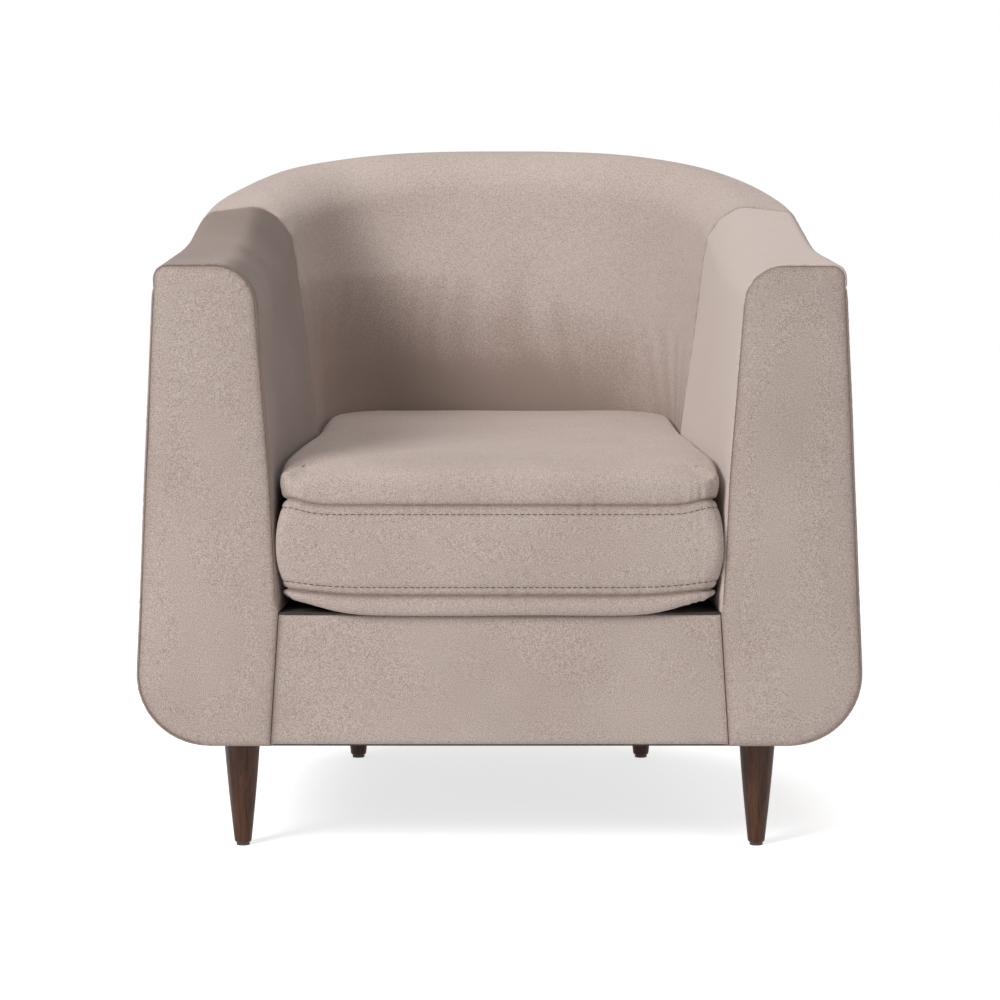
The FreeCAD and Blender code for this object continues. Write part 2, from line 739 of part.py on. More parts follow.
def along_wall_drop(station):
    """How far the top falls within half a post's width of a section, so that the post stays under it."""
    turn = math.degrees(length("post_width") / 2 / station.outer_top())
    neighbour = Station(1.0, max(station.fold - turn, 0.0))
    return max(station.top() - neighbour.top(), 0.0) + length("frame_ease")


def spring_path(x, start, end, height):
    """The line of one sinuous spring: a flat zigzag of straight runs and half circles."""
    bend = length("spring_bend")
    half = length("spring_loop") / 2 - bend
    corner = bend * math.sqrt(0.5)
    count = int((end - start) / (2 * bend))
    near = start + (end - start - count * 2 * bend) / 2
    last = Vector(x, near, height)
    edges = []
    side = 1
    for turn in range(count):
        begin = Vector(x + side * half, near, height)
        early = Vector(x + side * (half + corner), near + bend - corner, height)
        middle = Vector(x + side * (half + bend), near + bend, height)
        late = Vector(x + side * (half + corner), near + bend + corner, height)
        near = near + 2 * bend
        finish = Vector(x + side * half, near, height)
        edges += [line(last, begin), arc(begin, early, middle), arc(middle, late, finish)]
        last = finish
        side = -side
    return Part.Wire(edges)


def make_springs(front_face):
    """Five sinuous springs and their clips on the rails."""
    wire = length("spring_wire")
    plate = length("clip_plate")
    height = length("rail_top") + plate + wire / 2 + length("ease")
    start = float(front_face) + length("rail_thickness") / 2
    end = length("spring_rail_depth") + length("rail_thickness") / 2
    springs = []
    clips = []
    for number in range(-2, 3):
        x = number * length("spring_spacing")
        path = spring_path(x, start, end, height)
        first = path.Edges[0]
        tangent = first.tangentAt(first.FirstParameter)
        circle = Part.Circle(first.Vertexes[0].Point, tangent, wire / 2)
        springs.append(path.makePipeShell([Part.Wire([circle.toShape()])], True, False))
        for y in (start, end):
            corner = Vector(x - length("clip_length") / 2, y - length("clip_width") / 2, length("rail_top"))
            clips.append(Part.makeBox(length("clip_length"), length("clip_width"), plate, corner))
    shaped("seat_springs", Part.makeCompound(springs))
    shaped("spring_clips", Part.makeCompound(clips))


def plan_outline(inset, height):
    """The cushion's outline, drawn in by an inset, at a height."""
    front = -length("cushion_proud")
    fan = length("fan_depth")
    rear = float(cushion_depth)
    points = [(float(cushion_front), front), (float(cushion_waist), fan), (float(cushion_rear), rear)]
    points = points + [(-x, y) for x, y in reversed(points)]
    radii = [length("cushion_front_corner"), 0.0, length("cushion_rear_corner")]
    radii = radii + list(reversed(radii))
    inner = inset_polygon(points, inset)
    edges = []
    last = None
    first = None
    count = len(inner)
    for index in range(count):
        here = inner[index]
        if not radii[index]:
            spot = Vector(here[0], here[1], height)
            if last is not None:
                edges.append(line(last, spot))
            last = spot
            continue
        steps = corner_arc(inner[index - 1], here, inner[(index + 1) % count], radii[index])
        begin, middle, end = [Vector(x, y, height) for x, y in steps]
        if last is not None:
            edges.append(line(last, begin))
        edges.append(arc(begin, middle, end))
        first = first or begin
        last = end
    edges.append(line(last, first))
    return Part.Wire(edges)


def stack(levels):
    """A smooth closed form through outlines at insets and heights."""
    return smooth_loft([plan_outline(inset, height) for inset, height in levels])


def wall_reach(station):
    """Just inside the inner wall at the deck."""
    return station.inset_points(0.0)["deck"][0] - length("ease")


def seat_slab(front, bottom, top):
    """A flat piece that fills the seat from wall to wall, from a depth to the back."""
    corners = []
    for side in (1, -1):
        first = Station(front / length("fan_depth"), 0.0, side)
        corners.append(first.place(wall_reach(first), bottom))
    rounds = []
    for step in range(2 * BACK_STEPS + 1):
        station = Station(1.0, SEAM_ANGLE * step)
        rounds.append(station.place(wall_reach(station), bottom))
    edges = [line(corners[1], corners[0]), line(corners[0], rounds[0])]
    for index in range(0, len(rounds) - 1, 2):
        edges.append(arc(*rounds[index:index + 3]))
    edges.append(line(rounds[-1], corners[1]))
    return Part.Face(Part.Wire(edges)).extrude(Vector(0, 0, top - bottom))


def make_deck():
    """Deck pad, deck cloth and the dust cover."""
    ease = length("ease")
    cloth_top = length("deck_height") - ease
    cloth_bottom = cloth_top - length("deck_cloth")
    pad_top = cloth_bottom - ease
    pad_bottom = length("rail_top") + length("clip_plate") + length("spring_wire") + 2 * ease
    front = length("apron_recess") + length("fabric") + 2 * ease + length("apron_pad")
    shaped("deck_pad", seat_slab(front, pad_bottom, pad_top))
    shaped("deck_cloth", seat_slab(length("apron_recess"), cloth_bottom, cloth_top))
    points = []
    stations = arm_stations(1, length("apron_recess") + length("fabric") + ease)
    stations = stations + back_stations()[1:-1]
    stations = stations + list(reversed(arm_stations(-1, length("apron_recess") + length("fabric") + ease)))
    for station in stations:
        reach = station.inset_points(0.0)["hem"][0] - length("dust_margin")
        points.append(station.place(reach, length("underside")))
    face = Part.Face(Part.makePolygon(points + points[:1]))
    cloth = face.extrude(Vector(0, 0, length("dust_cloth")))
    spots = [(float(x), float(y)) for name, x, y in leg_spots()]
    shaped("dust_cover", drilled(cloth, spots, length("leg_top") / 2 + ease))


def crown_levels(base, inset, lift):
    """Outlines from the top seam up to the crown, for a layer that lies an amount inside."""
    seam = base + length("top_seam")
    crown = length("cushion_height") - length("top_seam")
    half = float(cushion_waist)
    levels = []
    for inset_share, height_share in zip(CROWN_INSET_SHARES, CROWN_HEIGHT_SHARES):
        levels.append((length("draw_in") + inset + half * inset_share, seam + crown * height_share + lift))
    return levels


def belly_levels(base, inset, lift):
    """Outlines from the bottom seam down to the flat bottom."""
    seam = base + length("bottom_seam")
    half = float(cushion_waist)
    levels = []
    for inset_share, height_share in zip(BELLY_INSET_SHARES, BELLY_HEIGHT_SHARES):
        height = seam - length("bottom_seam") * height_share + lift
        levels.append((length("draw_in") + inset + half * inset_share, height))
    return levels


def side_levels(base, inset, trim):
    """Outlines of the boxing between the seams."""
    low = base + length("bottom_seam") + trim
    high = base + length("top_seam") - trim
    levels = []
    for draw_share, height_share in zip(SIDE_DRAW_SHARES, SIDE_HEIGHT_SHARES):
        levels.append((inset + length("draw_in") * draw_share, mix(low, high, height_share)))
    return levels


def make_cushion():
    """Foam core, panels, boxing and zip of the loose cushion."""
    base = length("deck_height") + length("cushion_lift")
    skin = length("fabric")
    ease = length("ease")
    top = stack(crown_levels(base, 0.0, 0.0)).cut(stack(crown_levels(base, skin, -skin)))
    shaped("cushion_top_panel", top)
    bottom = stack(belly_levels(base, 0.0, 0.0)).cut(stack(belly_levels(base, skin, skin)))
    shaped("cushion_bottom_panel", bottom)
    ring = stack(side_levels(base, 0.0, ease)).cut(stack(side_levels(base, skin, ease)))
    rear = float(cushion_depth) - length("cushion_rear_corner")
    wide = length("half_width")
    keep = Part.makeBox(2 * wide, wide, 2 * wide, Vector(-wide, rear + ease, 0))
    shaped("cushion_zip_boxing", ring.common(keep))
    keep = Part.makeBox(2 * wide, 2 * wide, 2 * wide, Vector(-wide, rear - 2 * wide, 0))
    shaped("cushion_boxing", ring.common(keep))
    gap = skin + ease
    belly = list(reversed(belly_levels(base, gap, gap)))
    crown = crown_levels(base, gap, -gap)
    levels = belly[:-1] + side_levels(base, gap, gap) + crown[1:]
    core = Part.makeLoft([plan_outline(inset, height) for inset, height in levels], True, True)
    shaped("cushion_foam_core", core)
    make_zip(base)


def make_zip(base):
    """Zip chain on the rear boxing, with its slider and pull."""
    middle = base + (length("bottom_seam") + length("top_seam")) / 2
    rear = float(cushion_depth) + length("ease")
    chain = Part.makeBox(length("zip_length"), length("zip_depth"), length("zip_height"),
                         Vector(-length("zip_length") / 2, rear, middle - length("zip_height") / 2))
    shaped("zip_chain", chain)
    start = -length("zip_length") / 2
    slider_depth = rear + length("zip_depth") + length("fit")
    wide, tall, deep = length("slider_length"), length("slider_height"), length("slider_depth")
    plate = Part.makeBox(wide, deep, tall, Vector(start, slider_depth, middle - tall / 2))
    pin = length("pull_pin")
    lug = Part.makeBox(pin * 2, pin * 2, tall / 2,
                       Vector(start + wide / 2 - pin, slider_depth + deep, middle - tall / 4))
    hole_spot = Vector(start, slider_depth + deep + pin, middle)
    bore = Part.makeCylinder(pin / 2 + length("fit") / 2, wide, hole_spot, Vector(1, 0, 0))
    shaped("zip_slider", plate.fuse(lug).removeSplitter().cut(bore))
    plate_depth = slider_depth + deep + pin
    pull = Part.makeBox(length("pull_width"), length("pull_plate"), length("pull_length"),
                        Vector(start + wide / 2 - length("pull_width") / 2,
                               plate_depth - length("pull_plate") / 2, middle - length("pull_length")))
    slot = Part.makeBox(pin * 2 + 4 * length("fit"), length("pull_plate") * 2, tall,
                        Vector(start + wide / 2 - pin - 2 * length("fit"),
                               plate_depth - length("pull_plate"), middle - tall / 2))
    rod = Part.makeCylinder(pin / 2, length("pull_width"),
                            Vector(start + wide / 2 - length("pull_width") / 2, plate_depth, middle),
                            Vector(1, 0, 0))
    cap = Part.makeBox(length("pull_width"), length("pull_plate"), pin,
                       Vector(start + wide / 2 - length("pull_width") / 2,
                              plate_depth - length("pull_plate") / 2, middle - pin / 2))
    shaped("zip_pull", pull.cut(slot).fuse([rod, cap.cut(slot)]).removeSplitter())


def make_legs():
    """Turned legs, glides, hanger bolts and tee nuts."""
    top = size("leg_top") / 2
    toe = size("leg_toe") / 2
    lift = size("glide_height")
    bolt = size("bolt") / 2
    socket = bolt + size("fit")
    socket_bottom = frame_bottom - size("bolt_depth") - size("fit")
    round_in = size("toe_round")
    bolts = []
    nuts = []
    for name, x, y in leg_spots():
        leg = turned(f"{name}_leg", [(0.0, lift), (toe - round_in, lift), (toe, lift + round_in / 2),
                                     (top, frame_bottom), (socket, frame_bottom),
                                     (socket, socket_bottom), (0.0, socket_bottom)])
        settle(leg, x=x, y=y)
        glide = doc.addObject("Part::Cylinder", f"{name}_glide")
        glide.Label = f"{name}_glide"
        glide.Radius = float(size("glide_width") / 2)
        glide.setExpression("Radius", (size("glide_width") / 2).text)
        glide.Height = float(lift)
        glide.setExpression("Height", lift.text)
        settle(glide, x=x, y=y)
        plan = Vector(float(x), float(y), 0)
        rod = Part.makeCylinder(float(bolt), length("bolt_length"),
                                plan + Vector(0, 0, float(frame_bottom - size("bolt_depth"))))
        bolts.append(rod)
        nut_top = float(frame_bottom + size("base_rail_height") - size("nut_plate"))
        barrel = Part.makeCylinder(length("nut_barrel") / 2, length("nut_length"),
                                   plan + Vector(0, 0, nut_top - length("nut_length")))
        flange = Part.makeCylinder(length("nut_flange") / 2, length("nut_plate"),
                                   plan + Vector(0, 0, nut_top))
        bore = Part.makeCylinder(float(bolt) + length("fit"), length("bolt_length") * 2,
                                 plan + Vector(0, 0, float(frame_bottom)))
        nuts.append(barrel.fuse(flange).cut(bore))
    shaped("leg_hanger_bolts", Part.makeCompound(bolts))
    shaped("leg_tee_nuts", Part.makeCompound(nuts))


def write_parts():
    """Check every object, then write each sub-part to its own file."""
    doc.recompute()
    for item in doc.Objects:
        if "Invalid" in item.State or "Error" in item.State:
            raise RuntimeError(f"{item.Label} failed: {item.State}")
    for item in sub_parts:
        if item.Shape.isNull() or not item.Shape.isValid():
            raise RuntimeError(f"{item.Label} has no valid shape")
    os.makedirs("parts", exist_ok=True)
    for item in sub_parts:
        item.Shape.exportStep(f"parts/{item.Label}.step")
        box = item.Shape.BoundBox
        print(f"{item.Label}: {len(item.Shape.Solids)} solid(s), {item.Shape.Volume / 1000:.1f} cm3, "
              f"x {box.XMin:.1f}..{box.XMax:.1f} y {box.YMin:.1f}..{box.YMax:.1f} "
              f"z {box.ZMin:.1f}..{box.ZMax:.1f}")


make_walls()
make_arm_fronts()
make_apron()
front_face = make_frame()
make_base(front_face)
make_springs(front_face)
make_deck()
make_cushion()
make_legs()
write_parts()
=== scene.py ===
"""Looks of a velvet tub armchair: padded walls, loose cushion with its zip, turned legs and inner frame."""
import math

import bmesh
import bpy
import numpy as np
from bpy.props import FloatProperty, FloatVectorProperty, IntProperty, PointerProperty
from bpy.types import Operator, Panel, PropertyGroup
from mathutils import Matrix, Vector
from mathutils.geometry import delaunay_2d_cdt


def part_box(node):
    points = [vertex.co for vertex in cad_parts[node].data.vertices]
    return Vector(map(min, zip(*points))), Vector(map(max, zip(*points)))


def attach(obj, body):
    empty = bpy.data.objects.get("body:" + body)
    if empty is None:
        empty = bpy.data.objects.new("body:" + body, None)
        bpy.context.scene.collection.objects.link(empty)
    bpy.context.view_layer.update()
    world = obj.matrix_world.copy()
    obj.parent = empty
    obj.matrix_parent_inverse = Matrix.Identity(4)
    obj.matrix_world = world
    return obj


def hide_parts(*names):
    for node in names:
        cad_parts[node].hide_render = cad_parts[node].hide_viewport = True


bl_info = {
    "name": "Velvet Tub Armchair",
    "version": (1, 0, 0),
    "blender": (4, 5, 0),
    "location": "View3D > Sidebar > Armchair",
    "description": "Builds the upholstery, cushion, zip and legs of a tub armchair around its frame",
    "category": "Object",
}

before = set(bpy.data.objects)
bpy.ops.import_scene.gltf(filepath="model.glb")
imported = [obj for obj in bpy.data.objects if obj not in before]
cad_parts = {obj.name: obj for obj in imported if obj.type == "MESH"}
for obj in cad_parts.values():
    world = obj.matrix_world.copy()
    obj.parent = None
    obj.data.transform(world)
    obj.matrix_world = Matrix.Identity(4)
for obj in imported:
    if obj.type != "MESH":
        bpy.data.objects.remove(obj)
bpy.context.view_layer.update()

MM = 0.001
QUARTER = math.pi / 2
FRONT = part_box("left_arm_front_panel")[0].y
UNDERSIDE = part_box("dust_cover")[0].z
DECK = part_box("deck_cloth")[1].z + 0.3 * MM
CUSHION_LOW, CUSHION_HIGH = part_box("cushion_boxing")[0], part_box("cushion_top_panel")[1]
CUSHION_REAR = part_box("cushion_zip_boxing")[1].y
LEGS = ("front_left_leg", "front_right_leg", "back_left_leg", "back_right_leg")

# Rails of the wall as shares: along an arm from its front, then round to the middle of the back.
ARM_SHARES = (0.0, 0.25, 0.5, 0.75, 1.0)
ARM_RISE_SHARES = (0.0, 0.01, 0.055, 0.13, 0.255)
LIP_SHARES = (1.0, 0.76, 0.36, 0.15, 0.0)
BACK_RISE_SHARES = (0.255, 0.395, 0.545, 0.695, 0.82, 0.905, 0.966, 0.993, 1.0)
BACK_STEPS = len(BACK_RISE_SHARES) - 1
STATION_TURN = QUARTER / BACK_STEPS
ARM_END = len(ARM_SHARES) - 1
LEFT_SEAM = ARM_END + 1
RIGHT_SEAM = LEFT_SEAM + 2 * BACK_STEPS - 2
# How far the seam between arm and back strays from its station, at shares of the way down the inner wall.
SEAM_SLANT = (0.0, 0.06, 0.2, 0.34, 0.55, 0.8, 1.0), (-0.3, -0.3, 0.0, 0.34, 0.25, 0.05, 0.0)
SLANT_REACH = 3.0

# Mesh columns are spaced along this share of the inner line, and mesh lines lie this close beside a seam.
SPACING_SHARE = 0.35
SEAM_GAPS = (0.0005, 0.0007, 0.001, 0.0013, 0.0017, 0.0022, 0.0028, 0.0034)

# Depths behind the front plane, and how far from a seam the painted shade of its groove reaches.
WADDING_REAR = 10.3 * MM
BOARD_REAR = 27 * MM
SEAM_SHADE = 2.2 * MM

# Spread of the wave lengths that puckers and soft unevenness are mixed from.
PUCKER_WAVES = (0.55, 1.9)
SOFT_WAVES = (0.6, 1.8)


def length_property(name, description, default):
    """A length that the panel shows in the scene's unit."""
    return FloatProperty(name=name, description=description, default=default, unit="LENGTH", precision=4)


def plain_property(name, description, default):
    """A plain number."""
    return FloatProperty(name=name, description=description, default=default)


def colour_property(name, description, default):
    """A linear colour."""
    return FloatVectorProperty(name=name, description=description, default=default, subtype="COLOR", size=3,
                               min=0.0, max=1.0)


class WallSizes(PropertyGroup):
    """Driving sizes of the tub's wall, measured from the fan centre where the straight arms end."""

    half_width: length_property("Half width", "Widest half width, at the front of the arms", 0.400)
    waist_half_width: length_property("Waist half width", "Half width where the arms meet the back", 0.392)
    back_reach: length_property("Back reach", "Fan centre to the furthest point of the back", 0.400)
    fan_depth: length_property("Fan depth", "Front plane to the fan centre", 0.300)
    arm_height: length_property("Arm height", "Top of the arms at the front", 0.6612)
    top_rise: length_property("Top rise", "How much higher the middle of the back is", 0.0868)
    outer_top: length_property("Outer top edge", "Half width of the outer top edge at the waist", 0.352)
    lip_flare: length_property("Lip flare", "How far the outer top edge flares out at the front", 0.025)
    back_top_reach: length_property("Back top reach", "Fan centre to the outer top edge of the back", 0.368)
    front_inner_top: length_property("Front inner top", "Inner top corner at the front", 0.267)
    waist_inner_top: length_property("Waist inner top", "Inner top corner at the waist", 0.251)
    back_inner_top: length_property("Back inner top", "Fan centre to the back's inner top corner", 0.284)
    front_seat: length_property("Front seat", "Inner face at cushion height, front", 0.250)
    waist_seat: length_property("Waist seat", "Inner face at cushion height, waist", 0.212)
    back_seat: length_property("Back seat", "Fan centre to the inner face at cushion height", 0.236)
    seat_height: length_property("Seat height", "Height where the inner face starts to lean", 0.430)
    front_tuck: length_property("Front tuck", "How far the panel's inner edge draws in at the deck", 0.007)
    foot_spread: length_property("Foot spread", "How far it runs out again to the underside", 0.010)
    front_corner: length_property("Front corner", "Bottom corner radius of the arms", 0.080)
    back_corner: length_property("Back corner", "Bottom corner radius of the back", 0.045)
    edge_radius: length_property("Edge radius", "Outer top edge", 0.016)
    front_roll: length_property("Front roll", "Inner top roll at the front", 0.046)
    back_roll: length_property("Back roll", "Inner top roll of the back", 0.054)
    seam_drop: length_property("Seam drop", "Seam of the covers under the outer top edge", 0.012)
    hem: length_property("Hem", "Cover turned under the tub", 0.006)
    cover: length_property("Cover", "Velvet with its backing", 0.002)
    padding: length_property("Padding", "Cover and foam on the inner walls", 0.0303)
    dome: length_property("Dome", "How far the top arches up where the arms meet the back", 0.0065)
    seat_power: plain_property("Seat rounding", "How square the plan is at the seat", 4.0)
    top_power: plain_property("Top rounding", "How square the plan is at the inner top", 2.3)


class CushionSizes(PropertyGroup):
    """Driving sizes of the loose seat cushion."""

    front_half: length_property("Front half width", "Seam at the front", 0.2350)
    shoulder_half: length_property("Shoulder half width", "Seam just behind the arm fronts", 0.2362)
    waist_half: length_property("Waist half width", "Seam where the arms end", 0.2082)
    rear_half: length_property("Rear half width", "Seam at the rear", 0.1995)
    front_corner: length_property("Front corner", "Plan radius of the front corners", 0.022)
    rear_corner: length_property("Rear corner", "Plan radius of the rear corners", 0.072)
    proud: length_property("Proud", "How far the front seams stand ahead of the foam", 0.001)
    bottom_seam: length_property("Bottom seam", "Height of the bottom seam", 0.297)
    top_seam: length_property("Top seam", "Height of the top seam", 0.397)
    base: length_property("Base", "Height of the flat bottom", 0.279)
    crown: length_property("Crown", "Height of the middle of the top", CUSHION_HIGH.z)
    draw_in: length_property("Draw in", "How far the seams draw the sides in", 0.0035)
    lobe: length_property("Lobe", "How much further the front corners bulge", 0.0078)
    bulge_corner: length_property("Bulge corner", "Plan radius of the bulging front corners", 0.010)
    corner_lift: length_property("Corner lift", "How much higher the top seam is at the front corners", 0.008)
    corner_drop: length_property("Corner drop", "How much lower the top is at the front corners", 0.012)
    belly_lift: length_property("Belly lift", "How far the bottom comes up at the front corners", 0.017)
    stitch_row: length_property("Stitch row", "Topstitching to the seam", 0.0095)
    gather_reach: length_property("Gathers", "How far the gathers at the corners run", 0.032)


class ClothLook(PropertyGroup):
    """Velvet and how it is sewn and stretched."""

    velvet: colour_property("Velvet", "Colour of the pile", (0.505, 0.425, 0.388))
    velvet_deep: colour_property("Velvet, deep", "Colour between the pile's tufts", (0.265, 0.200, 0.170))
    nap_lean: plain_property("Nap lean", "How far the pile leans along the cloth", 0.62)
    step: length_property("Mesh step", "Spacing of the mesh over the covers", 0.0042)
    groove: length_property("Groove", "How deep a seam sits", 0.0026)
    groove_width: length_property("Groove width", "How wide its lips are", 0.0026)
    pucker: length_property("Pucker", "Height of the puckers beside a seam", 0.0007)
    pucker_reach: length_property("Pucker reach", "How far they run from it", 0.010)
    softness: length_property("Softness", "Height of the broad unevenness of the padding", 0.0011)
    front_round: length_property("Front round", "How the side covers round over at the arm fronts", 0.0024)
    panel_bulge: length_property("Panel bulge", "How far the arm panels stand out in their middle", 0.0030)


class TrimSizes(PropertyGroup):
    """Stitches, zip, staples and legs."""

    stitch: length_property("Stitch", "Length of one stitch", 0.0050)
    stitch_gap: length_property("Stitch gap", "Gap between two stitches", 0.0019)
    stitch_thick: length_property("Thread", "Thickness of the thread", 0.00065)
    staple: length_property("Staple", "Width of a staple", 0.010)
    staple_pitch: length_property("Staple pitch", "Distance between staples", 0.032)
    tooth_pitch: length_property("Tooth pitch", "Zip teeth, centre to centre", 0.0022)
    leg_top: length_property("Leg top", "Diameter at the top", 0.0419)
    leg_toe: length_property("Leg toe", "Diameter at the toe", 0.0194)
    leg_swell: length_property("Leg swell", "How far the leg swells between its ends", 0.0006)
    leg_faces: IntProperty(name="Leg faces", description="Faces round a leg", default=72, min=12)


class StageLook(PropertyGroup):
    """Camera, lamps and floor."""

    lens: FloatProperty(name="Lens", description="Focal length", default=144.0, unit="CAMERA")
    camera_x: length_property("Camera X", "Across the chair", 0.0004)
    camera_distance: length_property("Camera distance", "In front of the arm panels", 4.332)
    camera_height: length_property("Camera height", "Above the floor", 1.0115)
    camera_drop: FloatProperty(name="Camera pitch", description="How far it looks down",
                               default=math.radians(8.0), unit="ROTATION")
    floor: colour_property("Floor", "Floor colour", (0.86, 0.86, 0.86))
    floor_glow: plain_property("Floor glow", "How white the floor is seen in its shadows", 0.82)
    key_power: FloatProperty(name="Key", description="Key lamp", default=172.0, unit="POWER")
    fill_power: FloatProperty(name="Fill", description="Fill lamp", default=34.0, unit="POWER")
    top_power: FloatProperty(name="Top", description="Overhead lamp", default=40.0, unit="POWER")
    world: plain_property("World", "Strength of the even light from all sides", 0.20)


# Helpers for sections and surfaces

def mix(start, end, share):
    """The value a share of the way from start to end."""
    return start + (end - start) * share


def along(shares, place):
    """A table of evenly spaced shares, read at a place from 0 to 1."""
    return float(np.interp(place * (len(shares) - 1), range(len(shares)), shares))


def smooth(share):
    """A share held between 0 and 1, with soft ends."""
    share = np.clip(share, 0.0, 1.0)
    return share * share * (3 - 2 * share)


def round_reach(side, rear, angle, power):
    """Distance from the fan centre to a rounded plan curve."""
    cosine, sine = math.cos(angle) / side, math.sin(angle) / rear
    return (cosine ** power + sine ** power) ** (-1.0 / power)


def unit(vector):
    """A vector or grid of vectors at length one."""
    return vector / np.maximum(np.linalg.norm(vector, axis=-1, keepdims=True), 1e-12)


def rounded(points, radii, steps=14):
    """A line through corners whose corners with a radius are arcs, and where each corner begins."""
    line, marks = [], []
    for index, (point, radius) in enumerate(zip(points, radii)):
        marks.append(len(line))
        if not radius:
            line.append(np.array(point))
            continue
        here = np.array(point)
        back = unit(np.array(points[index - 1]) - here)
        ahead = unit(np.array(points[(index + 1) % len(points)]) - here)
        half = math.acos(float(back @ ahead)) / 2
        centre = here + unit(back + ahead) * radius / math.sin(half)
        start = here + back * radius / math.tan(half)
        end = here + ahead * radius / math.tan(half)
        first, last = start - centre, end - centre
        sweep = math.atan2(first[0] * last[1] - first[1] * last[0], float(first @ last))
        for step in range(steps + 1):
            turn = sweep * step / steps
            cosine, sine = math.cos(turn), math.sin(turn)
            line.append(centre + np.array((first[0] * cosine - first[1] * sine,
                                           first[0] * sine + first[1] * cosine)))
    marks.append(len(line))
    return np.array(line), marks


def resampled(line, places):
    """Points at shares of a line's length."""
    gaps = np.linalg.norm(np.diff(line, axis=0), axis=1)
    run = np.concatenate([[0.0], np.cumsum(gaps)])
    spots = np.asarray(places) * run[-1]
    return np.stack([np.interp(spots, run, line[:, axis]) for axis in range(line.shape[1])], axis=1)


def line_length(line):
    """Length of a line of points."""
    return float(np.linalg.norm(np.diff(line, axis=0), axis=1).sum())


def places_along(total, step, fine_start=True, fine_end=True):
    """Shares from 0 to 1 for mesh lines, closer together beside the ends that are seams."""
    fine = np.cumsum(SEAM_GAPS)
    start = fine if fine_start else np.array([])
    end = total - fine[::-1] if fine_end else np.array([])
    low = start[-1] if fine_start else 0.0
    high = end[0] if fine_end else total
    count = max(int(round((high - low) / step)), 2)
    middle = np.linspace(low, high, count + 1)[1:-1]
    return np.concatenate([[0.0], start, middle, end, [total]]) / total


